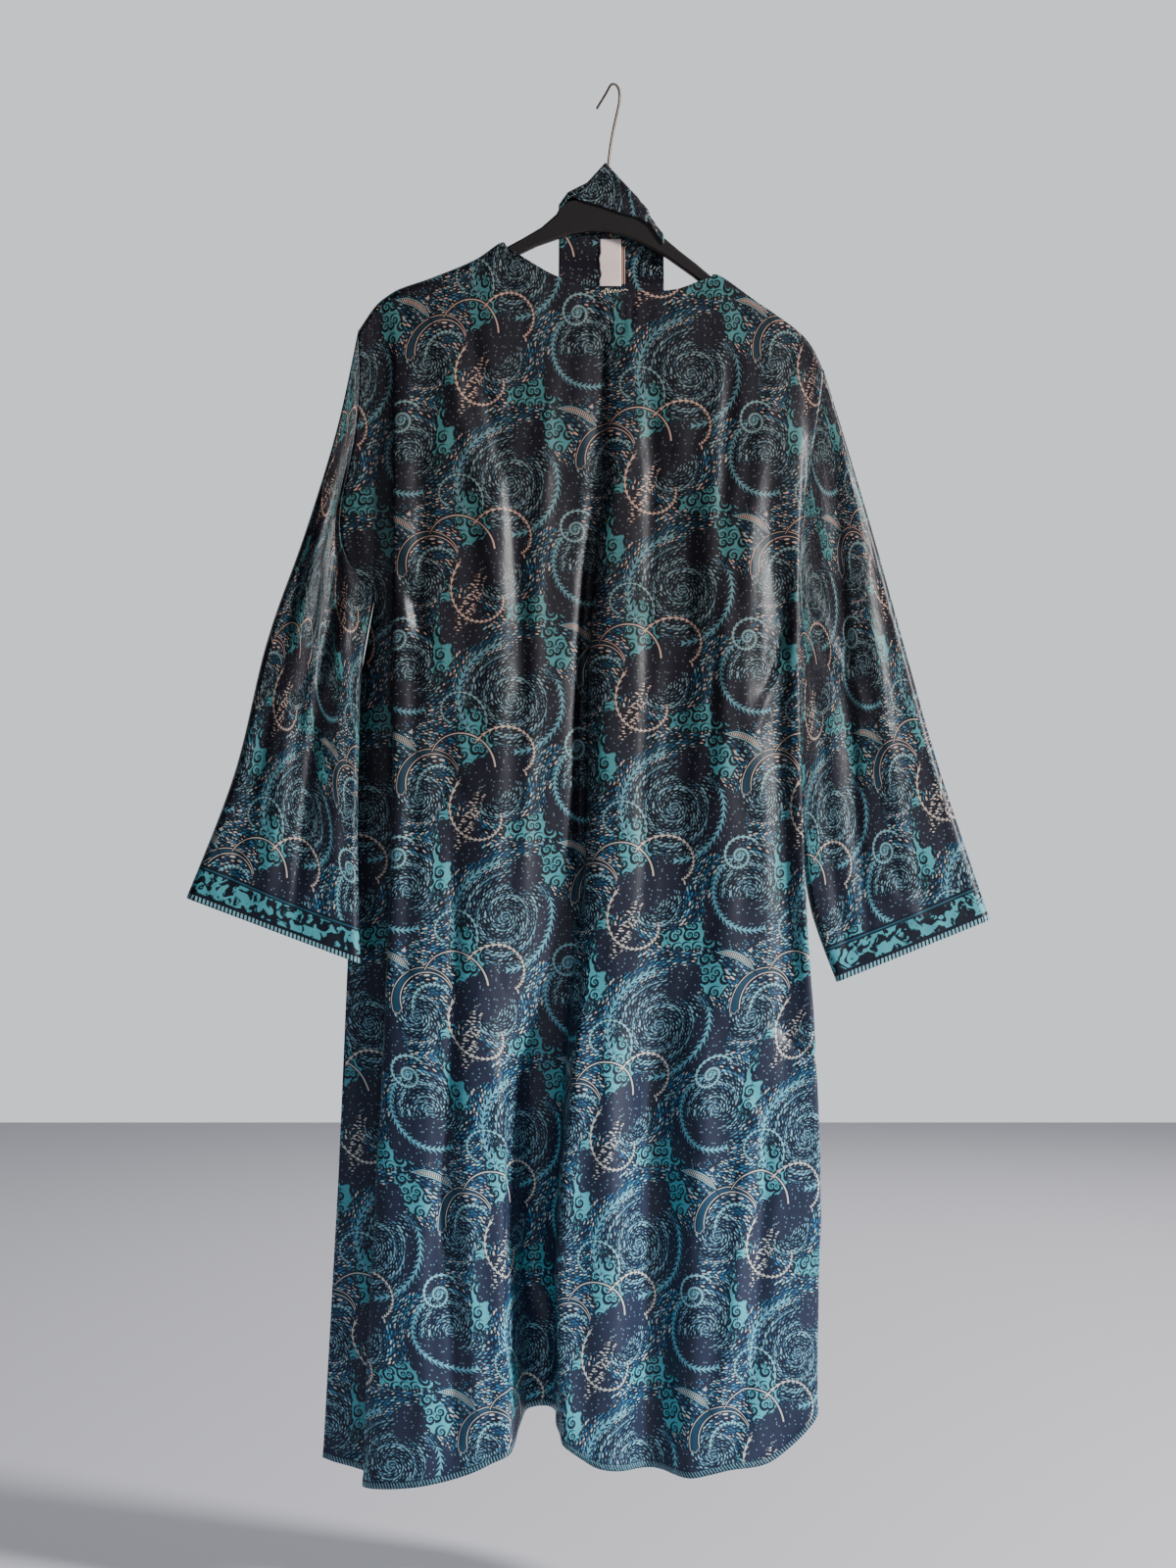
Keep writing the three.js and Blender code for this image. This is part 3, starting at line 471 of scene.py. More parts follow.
FRONT_CREASES = {
    "left": [
        (-3.0, 8, 0, [(-180, -240), (-176, -420), (-190, -640), (-206, -900), (-222, -1200)]),
        (2.6, 10, 0, [(-130, -220), (-132, -420), (-140, -680), (-156, -930), (-176, -1300)]),
        (-2.4, 7, 0.2, [(-100, -260), (-96, -480), (-104, -700), (-128, -960), (-150, -1250)]),
        (2.2, 8, 0, [(-80, -330), (-84, -560), (-96, -800), (-122, -1080), (-140, -1330)]),
        (-2.0, 6, 0, [(-226, -560), (-206, -640), (-186, -720)]),
    ],
    "right": [
        (-3.0, 8, 0, [(150, -270), (136, -460), (126, -700), (124, -960), (128, -1240)]),
        (2.6, 10, 0, [(110, -230), (106, -420), (98, -680), (92, -930), (90, -1300)]),
        (-2.4, 7, 0.2, [(84, -260), (80, -480), (66, -700), (50, -960), (44, -1290)]),
        (2.0, 8, 0, [(64, -330), (60, -560), (46, -800), (26, -1080), (14, -1330)]),
        (-1.8, 6, 0, [(168, -560), (150, -630), (134, -720)]),
    ],
}
SLEEVE_CREASES = {
    "left": [
        (-4.2, 7, 0.3, [(-262, -330), (-276, -470), (-292, -600), (-308, -740), (-318, -850)]),
        (3.0, 9, 0, [(-276, -340), (-294, -470), (-314, -600), (-334, -740), (-348, -840)]),
        (2.4, 8, 0, [(-254, -400), (-264, -520), (-270, -640), (-276, -780), (-280, -870)]),
        (-2.2, 7, 0, [(-300, -450), (-330, -590), (-356, -700), (-384, -810)]),
        (-2.0, 6, 0, [(-262, -480), (-280, -540), (-306, -590), (-330, -620)]),
        (1.8, 6, 0, [(-258, -520), (-282, -590), (-310, -640)]),
    ],
    "right": [
        (-3.2, 8, -0.2, [(212, -330), (222, -470), (232, -600), (240, -740), (256, -880)]),
        (2.8, 9, 0, [(226, -330), (244, -460), (262, -590), (280, -720), (302, -860)]),
        (-2.4, 7, 0, [(262, -760), (286, -790), (322, -800), (352, -806)]),
        (2.0, 7, 0, [(262, -790), (292, -820), (330, -834)]),
        (-2.2, 7, 0, [(196, -560), (206, -660), (214, -760), (234, -880)]),
        (1.8, 6, 0, [(190, -480), (216, -560), (250, -620), (286, -650)]),
    ],
}
# How far up the turned hem begins to stand out and stands out fully, and by how much.
HEM_TURN, HEM_LIFT = (11.5, 8.0), 0.9


def hem_distance(grid):
    """Distance of each point to the hem, walked down the cloth."""
    walk = np.linalg.norm(np.diff(grid, axis=0), axis=2)
    return np.concatenate([np.cumsum(walk[::-1], axis=0)[::-1], np.zeros((1, grid.shape[1]))], axis=0)


def turned(grid, towards, distance):
    """Stands the turned hem a little out, as a soft roll along the free edge."""
    lift = HEM_LIFT * smoothstep(distance, *HEM_TURN)
    return grid + normals(grid, towards) * lift[..., None]


def cloth_uv(grid, anchor, offset):
    """Cloth coordinates in metres: across, the distance walked from the column nearest to x = anchor, and
    down the height. offset shifts the print, as each piece is cut from another place."""
    walk = along(grid)
    middle = np.argmin(np.abs(grid[len(grid) // 2, :, 0] - anchor))
    across = walk - walk[:, middle:middle + 1] + anchor
    return np.stack([across + offset[0], grid[..., 2] + offset[1]], axis=2) * MM


# ---- the sleeves -----------------------------------------------------------------------------------------

def sleeve_grid(side, rings, flat, arc):
    """A sleeve: flat oval rings from the armhole to the cuff. Each ring runs down the near face, round the
    lower fold, up the far face and round the top fold. Its ends follow the outlines, its depth the table,
    and the armhole's bow fades down the sleeve. The places on a ring lag behind t, so that the sleeve
    leaves a bowed seam squarely."""
    shape = SLEEVES[side]
    w = np.linspace(0, 1, rings + 1)
    s = w * (len(shape["top"]) - 1)
    ends = [np.stack([knots([p[0] for p in shape[k]], s), knots([p[1] for p in shape[k]], s)], axis=1)
            for k in ("top", "under")]
    half = knots(shape["depth"], s)
    middle = knots(shape["middle"], s)
    way = ends[1] - ends[0]
    way /= np.linalg.norm(way, axis=1, keepdims=True)
    share = np.minimum(1, w * 3)[:, None]
    upright = np.array([[0.0, -1.0]]) * (1 - share) + way * share
    upright /= np.linalg.norm(upright, axis=1, keepdims=True)
    first = ends[0] + upright * half[:, None]
    last = ends[1] - upright * half[:, None]

    def face(t, near):
        bow = armhole(side, t)[0] - (armhole(side, 0.0)[0] * (1 - t) + armhole(side, 1.0)[0] * t)
        place = t - 3 * (w * (1 - w))[:, None] * t * (1 - t)
        x = first[:, :1] + (last[:, :1] - first[:, :1]) * place + bow * (1 - smoothstep(w, 0, 1))[:, None]
        z = first[:, 1:] + (last[:, 1:] - first[:, 1:]) * place
        swell = sum((near_depth if near < 0 else far_depth) * np.exp(-((t - at) / wide) ** 2)
                    for at, wide, near_depth, far_depth in shape["folds"])
        out = half[:, None] + swell * np.sin(np.pi * w[:, None]) ** 2 * np.sin(np.pi * t)
        return np.stack([x, middle[:, None] + near * out, z + 0 * x], axis=2)

    def fold(at, sense):
        angle = np.linspace(0, np.pi, arc + 1)[None, 1:-1]
        x = at[:, :1] + sense * upright[:, :1] * half[:, None] * np.sin(angle)
        z = at[:, 1:] + sense * upright[:, 1:] * half[:, None] * np.sin(angle)
        return np.stack([x, middle[:, None] - sense * half[:, None] * np.cos(angle) + 0 * x, z], axis=2)

    t = np.linspace(0, 1, flat + 1)[None, :]
    return np.concatenate([face(t, -1), fold(last, 1), face(1 - t, 1), fold(first, -1)], axis=1)


def sleeve_uv(grid, side, flat, offset):
    """Cloth coordinates of a sleeve in metres: the flat lie of its near face, carried round the lower fold
    and back over the far face, with v along the sleeve."""
    outline = np.asarray(SLEEVES[side]["top"], float), np.asarray(SLEEVES[side]["under"], float)
    mouth = (outline[0][-1] + outline[1][-1]) / 2
    root = (outline[0][0] + outline[1][0]) / 2
    down = (mouth - root) / np.linalg.norm(mouth - root)
    beside = np.array([-down[1], down[0]])
    place = grid[..., [0, 2]] - root
    v = -(place @ down)
    u = place @ beside
    closed = np.concatenate([grid, grid[:, :1]], axis=1)
    walk = along(closed)
    sign = np.sign(np.mean(u[:, flat] - u[:, 0]))
    u = u[:, :1] + sign * walk
    v = np.concatenate([v, v[:, :1]], axis=1)
    return np.stack([u + offset[0], v + offset[1]], axis=2) * MM


# Where a sleeve is held: the share of each face beside its folds, and of its length at the armhole. On the
# far face the creases are this share of the near ones.
SLEEVE_HELD = {"fold": (0, 0.07), "armhole": (0.01, 0.08), "far": 0.7}


def sleeve_creased(grid, creases, flat):
    """The sleeve's near face with its creases, and the far face with the same ones a little weaker, both
    held at the armhole and fading over the folds. On both faces t goes from 0 at the top fold to 1 at the
    lower one."""
    rings, columns = grid.shape[:2]
    sign = np.where(np.arange(columns) <= flat, -1.0, 1.0)
    x, z = grid[..., 0], grid[..., 2]
    out = relief(x, z, creases)
    out += SLEEVE_SWELL * np.sin(x / 8.5 + 1.5 * np.sin(z / 70) + z / 60) * np.sin(z / 55 + x / 30)
    order = np.arange(columns)
    far_start = columns - flat - 1
    t = np.where(order <= flat, order / flat, np.clip((columns - order) / flat, 0, 1))
    t = np.where((order > flat) & (order < far_start - (columns - 2 * flat - 2) // 2), 1.0, t)
    hold = smoothstep(t, *SLEEVE_HELD["fold"]) * smoothstep(1 - t, *SLEEVE_HELD["fold"])
    free = smoothstep(np.arange(rings)[:, None] / rings, *SLEEVE_HELD["armhole"])
    moved = grid.copy()
    moved[..., 1] += sign * out * hold * free * np.where(sign < 0, 1.0, SLEEVE_HELD["far"])
    return moved


# ---- the neckband, the bands and the labels --------------------------------------------------------------

def tilted(points):
    """Points of the hanger's own frame, in the row's frame: turned by the tilt and moved to its centre."""
    u, z = np.asarray(points, float).T
    return np.stack([HANGER_CENTRE[0] + u * math.cos(TILT) + z * math.sin(TILT),
                     HANGER_CENTRE[1] - u * math.sin(TILT) + z * math.cos(TILT)], axis=1)


HANGER_EDGE = tilted([(-u, z) for u, z in HANGER_TOP[:0:-1]] + list(HANGER_TOP))


def hanger_edge(x):
    """Height of the tilted hanger's top edge at x."""
    return np.interp(x, HANGER_EDGE[:, 0], HANGER_EDGE[:, 1])


def column_face(z, edge):
    """y of the band's column, which climbs from the neck's edge to lie behind the hanger's bridge."""
    climb = smoothstep(np.asarray(COLUMN_ROWS), 0.05, 1)
    rows = -ROUND + (NECKBAND["depth"] - NECKBAND["wall"] + ROUND) * climb
    return np.interp((z - edge) / NECKBAND["climb"], COLUMN_ROWS, rows)


def neckband_grid(neck_edge, across, column_steps, rise_steps, fold_steps, flap_steps):
    """The neckband: up from the neck's edge, behind the bridge, over the fold's half circle and down as a
    flap."""
    xs = np.linspace(NECKBAND["x"][0], NECKBAND["x"][-1], across + 1)
    read = {k: np.interp(xs, NECKBAND["x"], NECKBAND[k]) for k in ("ridge", "flap")}
    edge = neck_edge(xs) + SEAM
    crest = np.maximum(read["ridge"], hanger_edge(xs) + NECKBAND["crest"])
    peak = NECKBAND["x"][int(np.argmax(NECKBAND["ridge"]))]
    tight = (NECKBAND["pinch"] + (NECKBAND["depth"] - NECKBAND["pinch"])
             * smoothstep(np.abs(xs - peak), *NECKBAND["pinched"]))
    centre = crest - tight
    least = NECKBAND["least"]
    foot = np.minimum(read["flap"], centre - least)
    over_column = edge + NECKBAND["climb"] + NECKBAND["rise"]
    spring = np.minimum(np.maximum(hanger_edge(xs) + least, over_column), centre - least)
    rows = []
    for f in np.linspace(0, 1, column_steps + 1):
        z = edge + NECKBAND["climb"] * f
        rows.append((z, column_face(z, edge) + NECKBAND["wall"]))
    for f in np.linspace(0, 1, rise_steps + 1)[:-1]:
        rows.append((spring + (centre - spring) * f, NECKBAND["depth"] + (tight - NECKBAND["depth"]) * f))
    for angle in np.linspace(0, np.pi, fold_steps + 1):
        rows.append((centre + tight * np.sin(angle), tight * np.cos(angle)))
    for f in np.linspace(0, 1, flap_steps + 1)[1:]:
        z = centre + (foot - centre) * f
        reach = np.maximum(centre - hanger_edge(xs), least)
        rows.append((z, -(tight + (NECKBAND["depth"] - tight) * smoothstep((centre - z) / reach, 0, 1))))
    return np.stack([np.stack([xs, y, z], axis=1) for z, y in rows], axis=0)


def band_grid(side, across):
    """A front band: a strip beside the front's edge that goes on up behind the hanger's bridge."""
    level = underarm(0)
    hem = EDGE["hem"][side]
    z = np.concatenate([np.linspace(BAND["top"], EDGE["top"] - ROUND, 18)[:-1],
                        heights(EDGE["top"], hem, level)[ROWS["over"] == 0]])
    z = np.unique(z)[::-1]
    s = np.where(z > level, 2 * np.clip((EDGE["top"] - z) / (EDGE["top"] - level), 0, 1),
                 2 + 3 * (level - z) / (level - hem))
    y = ROUND + knots((0, *EDGE["proud"]), s)
    y = np.maximum(y, BAND["lift"] + (ROUND - BAND["lift"]) * smoothstep(-z, *BAND["eased"]))
    columns = [np.stack([band_edge(side, z, BAND["width"] * f), y, z], axis=1)
               for f in np.linspace(0, 1, across + 1)]
    return np.stack(columns, axis=1)


# ---- shaders ---------------------------------------------------------------------------------------------

def srgb(code):
    """A linear colour from its sRGB hex value."""
    parts = [int(code[i:i + 2], 16) / 255 for i in (1, 3, 5)]
    return (*[p / 12.92 if p <= 0.04045 else ((p + 0.055) / 1.055) ** 2.4 for p in parts], 1.0)


def add(tree, kind, *inputs, sockets=None, **settings):
    """Adds a shader node, with "Kind:OPERATION" for its operation. An input that is a node or socket is
    linked, any other is set, and None is left alone."""
    name, _, operation = kind.partition(":")
    node = tree.nodes.new("ShaderNode" + name)
    if operation:
        node.operation = operation
    for key, value in settings.items():
        setattr(node, key, value)
    for key, value in [*enumerate(inputs), *(sockets or {}).items()]:
        if isinstance(value, bpy.types.Node):
            tree.links.new(value.outputs[0], node.inputs[key])
        elif isinstance(value, bpy.types.NodeSocket):
            tree.links.new(value, node.inputs[key])
        elif value is not None:
            node.inputs[key].default_value = value
    return node


def surface(name, colour, **sockets):
    """A material whose surface is one Principled shader. Returns it with its tree and shader."""
    material = bpy.data.materials.new(name)
    material.use_nodes = True
    tree = material.node_tree
    shader = tree.nodes["Principled BSDF"]
    shader.inputs["Base Color"].default_value = srgb(colour)
    for key, value in sockets.items():
        shader.inputs[key.replace("_", " ")].default_value = value
    return material, tree, shader


REPEAT = (183.0, 214.0)  # the print's repeat across and down, in millimetres
GROUND = "#0d0c13"
BARE_GROUND = "#25222c"
TEAL = "#225f77"
BLUE = "#3f93b3"
AQUA = "#a2d2cb"
TURQUOISE = "#60b6b0"
PEACH = "#ffe2c4"
TURN = 2 * math.pi


def repeat_cell(t, cloth, shift):
    """x and y in millimetres from the middle of a cell of the half-drop repeat: every other column is
    dropped by half a cell."""
    place = add(t, "Mapping", cloth, shift, None, (1000 / REPEAT[0], 1000 / REPEAT[1], 1))
    part = add(t, "SeparateXYZ", place)
    column = add(t, "Math:FLOOR", part.outputs[0])
    drop = add(t, "Math:FLOORED_MODULO", column, 2.0)
    fallen = add(t, "Math:MULTIPLY_ADD", drop, 0.5, part.outputs[1])
    joined = add(t, "CombineXYZ", part.outputs[0], fallen)
    inside = add(t, "VectorMath:FRACTION", joined)
    return add(t, "Mapping", inside, (-REPEAT[0] / 2, -REPEAT[1] / 2, 0), None, (*REPEAT, 1))


def polar(t, place):
    """Distance from the origin in millimetres, and angle in turns from -0.5 to 0.5."""
    part = add(t, "SeparateXYZ", place)
    angle = add(t, "Math:ARCTAN2", part.outputs[1], part.outputs[0])
    distance = add(t, "VectorMath:LENGTH", place).outputs["Value"]
    return distance, add(t, "Math:MULTIPLY", angle, 1 / TURN)


def soft(t, value, low, high):
    """A smooth step from 0 at low to 1 at high."""
    return add(t, "MapRange", value, low, high, interpolation_type="SMOOTHSTEP")


def seed_whorl(t, distance, turns, first, count, pitch, slant):
    """Seeds along the arms of a whorl. The arms are a logarithmic spiral, and at each doubling of the
    distance there are twice as many arms and seeds, so a seed keeps about one size. Returns the distance to
    the nearest seed's middle, its own random number, and the count of arms passed."""
    scaled = add(t, "Math:MULTIPLY", distance, 1 / first)
    doublings = add(t, "Math:FLOOR", add(t, "Math:LOGARITHM", scaled, 2.0))
    many = add(t, "Math:POWER", 2.0, doublings)
    log = add(t, "Math:LOGARITHM", scaled, math.e)
    arm = add(t, "Math:MULTIPLY", add(t, "Math:MULTIPLY_ADD", log, 1 / pitch, turns), many)
    step = add(t, "Math:MULTIPLY", add(t, "Math:MULTIPLY", turns, float(count)), many)
    slanted = add(t, "Math:MULTIPLY_ADD", arm, slant, step)
    seeds = add(t, "TexVoronoi", sockets={"Vector": add(t, "CombineXYZ", arm, slanted), "Scale": 1.0,
                                          "Randomness": 0.4}, voronoi_dimensions="2D")
    own = add(t, "SeparateColor", seeds.outputs["Color"])
    return seeds.outputs["Distance"], own.outputs[0], arm


def scroll(t, cell, centre, angle, size, shrink, turns, width, tip, teeth, bite, slant, hand):
    """A scroll that starts size millimetres from its centre and winds in along a logarithmic spiral,
    shrinking by exp(shrink) each turn. Its half width goes from width to that times tip, with teeth to each
    turn that stand bite millimetres out and lean by slant teeth a millimetre. Returns how far inside the
    line a point is, in millimetres, and below 0 outside it or past its ends."""
    local = add(t, "Mapping", cell, (*centre, 0), (0, 0, math.radians(angle)), (1, hand, 1),
                vector_type="TEXTURE")
    distance, turn = polar(t, local)
    log = add(t, "Math:LOGARITHM", add(t, "Math:MULTIPLY", distance, 1 / size), math.e)
    wound = add(t, "Math:MULTIPLY", log, -1 / shrink)
    arm = add(t, "Math:ROUND", add(t, "Math:SUBTRACT", wound, turn))
    total = add(t, "Math:ADD", arm, turn)
    off = add(t, "Math:ABSOLUTE", add(t, "Math:SUBTRACT", wound, total))
    across = add(t, "Math:MULTIPLY", add(t, "Math:MULTIPLY", off, distance), shrink)
    half = add(t, "MapRange", total, 0.0, turns, width, width * tip)
    if teeth:
        lean = add(t, "Math:MULTIPLY", across, slant)
        tooth = add(t, "Math:PINGPONG", add(t, "Math:MULTIPLY_ADD", total, 2 * teeth, lean), 1.0)
        half = add(t, "Math:MULTIPLY_ADD", add(t, "Math:POWER", tooth, 2.0), bite, half)
    past = add(t, "Math:PINGPONG", add(t, "Math:SUBTRACT", total, turns / 2), 100.0)
    beyond = add(t, "MapRange", past, turns / 2 - 0.02, turns / 2 + 0.02, 0.0, 12.0)
    return add(t, "Math:SUBTRACT", add(t, "Math:SUBTRACT", half, across), beyond)


def drawn(t, colour, inside, *inks):
    """Draws a line over a colour: a dark rim 1.2 mm wide, and then each ink from its own depth inwards."""
    colour = add(t, "MixRGB", soft(t, inside, -1.5, -0.9), colour, srgb(GROUND))
    for depth, ink in inks:
        colour = add(t, "MixRGB", soft(t, inside, depth - 0.3, depth + 0.3), colour, srgb(ink))
    return colour


def zone(t, cell, centre, radii, angle, wobble):
    """How far inside an ellipse a point is, about 1 at the middle and 0 at its rim, with a wobbled rim."""
    local = add(t, "Mapping", cell, (*centre, 0), (0, 0, math.radians(angle)), (*radii, 1),
                vector_type="TEXTURE")
    out = add(t, "VectorMath:LENGTH", local).outputs["Value"]
    return add(t, "Math:SUBTRACT", wobble, out)


def zones(t, cell, table, wobble):
    """How far inside the nearest of several ellipses a point is."""
    within = None
    for centre, radii, angle in table:
        one = zone(t, cell, centre, radii, angle, wobble)
        within = one if within is None else add(t, "Math:MAXIMUM", within, one)
    return within


# Whorls of a cell: centre, radius and hand.
WHORLS = [((-34, 34), 50, 1), ((46, -46), 36, -1), ((56, 44), 24, 1), ((-50, -60), 27, -1)]

# Pools of turquoise and patches of bare ground: centre, half lengths and angle.
POOLS = [((-70, -16), (17, 44), 12), ((82, -4), (12, 52), -6), ((2, -90), (44, 13), 6),
         ((10, 84), (13, 22), 30)]
BARE = [((36, 12), (46, 23), 28), ((-68, 86), (44, 26), -18), ((6, -52), (24, 28), 10),
        ((-74, -34), (22, 36), 0), ((76, -84), (22, 18), 20)]

# Feathers round the whorls: centre, angle, size, shrink a turn, turns, half width, hand.
FEATHERS = [
    ((-34, 34), 95, 56, 0.16, 0.42, 0.45, 1),
    ((-34, 34), 265, 52, 0.16, 0.34, 0.45, 1),
    ((46, -46), 300, 40, 0.18, 0.58, 0.45, -1),
]

# Scrolls that stand between the whorls: centre, angle, size, shrink a turn, turns, half width, tip, teeth
# to a turn, bite, slant, hand, and inks by depth. The first is the plume, a long comma with a peach rim.
SCROLLS = [
    ((-20, 8), 205, 36, 0.75, 0.52, 5.2, 0.16, 0, 0, 0, -1, ((0, PEACH), (0.7, GROUND), (1.7, "#18424f"))),
    ((-15, 3), 200, 24, 0.75, 0.46, 0.5, 0.5, 30, 2.2, 0.5, -1, ((0, AQUA),)),
    ((2, 22), 352, 38, 0.60, 0.46, 0.9, 0.3, 0, 0, 0, 1, ((0, PEACH),)),
    ((30, -26), 120, 44, 1.50, 0.70, 0.35, 0.6, 34, 1.9, 0.6, 1, ((0, PEACH),)),
    ((58, 30), 165, 42, 1.60, 0.62, 0.35, 0.6, 34, 1.9, 0.6, -1, ((0, PEACH),)),
    ((0, 74), 330, 34, 1.60, 0.75, 0.35, 0.5, 28, 1.7, 0.6, 1, ((0, AQUA),)),
    ((-58, -66), 30, 22, 1.00, 1.90, 0.6, 0.6, 22, 1.7, 0.6, 1, ((0, AQUA),)),
]


def seeded_ground(t, cell, noise):
    """The ground of the print. Seeds wind round the nearest whorl. Inside it they are aqua on bare ground,
    plumper along each fourth arm, where a fine line runs. Between the whorls they are teal, blue and peach
    on a haze of teal."""
    nearest, nearest_reach = None, None
    for centre, radius, hand in WHORLS:
        local = add(t, "Mapping", cell, (*centre, 0), None, (1, hand, 1), vector_type="TEXTURE")
        distance = add(t, "VectorMath:LENGTH", local).outputs["Value"]
        reach = add(t, "Math:MULTIPLY", distance, 1 / radius)
        if nearest is None:
            nearest, nearest_reach = local, reach
            continue
        closer = add(t, "Math:LESS_THAN", reach, nearest_reach)
        nearest = add(t, "MixRGB", closer, nearest, local)
        nearest_reach = add(t, "Math:MINIMUM", reach, nearest_reach)
    distance, turns = polar(t, nearest)
    gap, own, arm = seed_whorl(t, distance, turns, first=5.6, count=10, pitch=0.36, slant=0.7)
    band = add(t, "Math:PINGPONG", arm, 2.0)
    plump = add(t, "MapRange", band, 0.3, 2.0, 0.40, 0.21)
    seeds = soft(t, add(t, "Math:SUBTRACT", gap, plump), 0.03, -0.09)
    inner = soft(t, nearest_reach, 1.08, 0.90)

    mixed = add(t, "MixRGB", soft(t, own, 0.25, 0.35), srgb(TEAL), srgb(BLUE))
    mixed = add(t, "MixRGB", soft(t, own, 0.50, 0.54), mixed, srgb(AQUA))
    mixed = add(t, "MixRGB", soft(t, own, 0.74, 0.76), mixed, srgb(PEACH))
    quiet = add(t, "MixRGB", own, srgb("#21566c"), srgb("#b4d8d2"))
    inks = add(t, "MixRGB", inner, mixed, quiet)
    haze = add(t, "Math:MULTIPLY", soft(t, noise.outputs["Fac"], 0.45, 0.60), 0.75)
    haze = add(t, "Math:MULTIPLY", haze, soft(t, inner, 1.0, 0.4))
    colour = add(t, "MixRGB", haze, srgb(GROUND), srgb("#153646"))
    colour = add(t, "MixRGB", seeds, colour, inks)
    line = add(t, "Math:MULTIPLY", soft(t, band, 0.13, 0.06), inner)
    broken = add(t, "Math:MULTIPLY", line, soft(t, noise.outputs["Fac"], 0.44, 0.52))
    return add(t, "MixRGB", broken, colour, srgb("#7fb3ae"))


def curled_pools(t, cell, wobble, colour):
    """Pools of turquoise, cut by dark curls: in each Voronoi cell, about 11 mm wide, a spiral round the
    cell's own point."""
    curl_space = add(t, "Mapping", cell, None, None, (0.092, 0.092, 1))
    curl = add(t, "TexVoronoi", sockets={"Vector": curl_space, "Scale": 1.0, "Randomness": 0.75},
               voronoi_dimensions="2D")
    curl_distance, curl_turn = polar(t, add(t, "VectorMath:SUBTRACT", curl_space, curl.outputs["Position"]))
    curl_log = add(t, "Math:LOGARITHM", curl_distance, math.e)
    curl_wave = add(t, "Math:PINGPONG", add(t, "Math:MULTIPLY_ADD", curl_log, 0.75, curl_turn), 0.5)
    curls = add(t, "Math:MULTIPLY", soft(t, curl_wave, 0.31, 0.23), soft(t, curl_distance, 0.66, 0.56))
    patch = add(t, "MixRGB", curls, srgb(TURQUOISE), srgb(GROUND))
    pool = zones(t, cell, POOLS, wobble)
    colour = add(t, "MixRGB", soft(t, pool, -0.10, -0.06), colour, srgb(GROUND))
    return add(t, "MixRGB", soft(t, pool, 0.0, 0.05), colour, patch)


def bare_patches(t, cell, other, wobble, colour):
    """Patches of bare ground with a few dots, one to about 7 mm."""
    dots = add(t, "TexVoronoi", sockets={"Vector": cell, "Scale": 0.15, "Randomness": 1.0},
               voronoi_dimensions="2D")
    speck = add(t, "Math:MULTIPLY", soft(t, dots.outputs["Distance"], 0.13, 0.08), 0.8)
    plain = add(t, "MixRGB", speck, srgb(BARE_GROUND), srgb("#8fa6a8"))
    return add(t, "MixRGB", soft(t, zones(t, other, BARE, wobble), -0.03, 0.05), colour, plain)


def peach_spray(t, other, wobble, colour):
    """A spray of peach seeds that falls from the plume."""
    spray_place = add(t, "Mapping", other, None, (0, 0, math.radians(-58)), (0.17, 0.40, 1))
    spray = add(t, "TexVoronoi", sockets={"Vector": spray_place, "Scale": 1.0, "Randomness": 0.9},
                voronoi_dimensions="2D")
    within = soft(t, zone(t, other, (14, -30), (9, 36), -24, wobble), 0.05, 0.30)
    colour = add(t, "MixRGB", add(t, "Math:MULTIPLY", within, 0.5), colour, srgb(GROUND))
    seeds = add(t, "Math:MULTIPLY", soft(t, spray.outputs["Distance"], 0.32, 0.22), within)
    return add(t, "MixRGB", seeds, colour, srgb(PEACH))


def ribbed_pod(t, other, colour):
    """A ribbed pod, which is a short bent bar with an aqua rim and a row of peach ribs, and a spark beside
    it."""
    place = add(t, "Mapping", other, (-56, 50, 0), (0, 0, math.radians(-24)), (1, 1, 1),
                vector_type="TEXTURE")
    x, y = add(t, "SeparateXYZ", place).outputs[:2]
    bend = add(t, "Math:MULTIPLY", x, x)
    bent = add(t, "Math:ABSOLUTE", add(t, "Math:MULTIPLY_ADD", bend, 0.012, y))
    half = add(t, "MapRange", add(t, "Math:ABSOLUTE", x), 12.0, 24.0, 3.3, -0.6)
    inside = add(t, "Math:SUBTRACT", half, bent)
    colour = drawn(t, colour, inside, (0, AQUA), (0.9, GROUND))
    ribs = soft(t, add(t, "Math:PINGPONG", x, 1.0), 0.35, 0.65)
    ribs = add(t, "Math:MULTIPLY", soft(t, inside, 1.2, 1.6), ribs)
    colour = add(t, "MixRGB", ribs, colour, srgb(PEACH))
    slope = add(t, "Math:MULTIPLY_ADD", x, 1.0, -9.0)
    side = add(t, "Math:MULTIPLY", add(t, "Math:SUBTRACT", 14.0, y), 0.45)
    spark = add(t, "Math:MINIMUM", add(t, "Math:SUBTRACT", side, add(t, "Math:ABSOLUTE", slope)),
                add(t, "Math:SUBTRACT", y, 8.5))
    return add(t, "MixRGB", soft(t, spark, 0.0, 0.4), colour, srgb(PEACH))


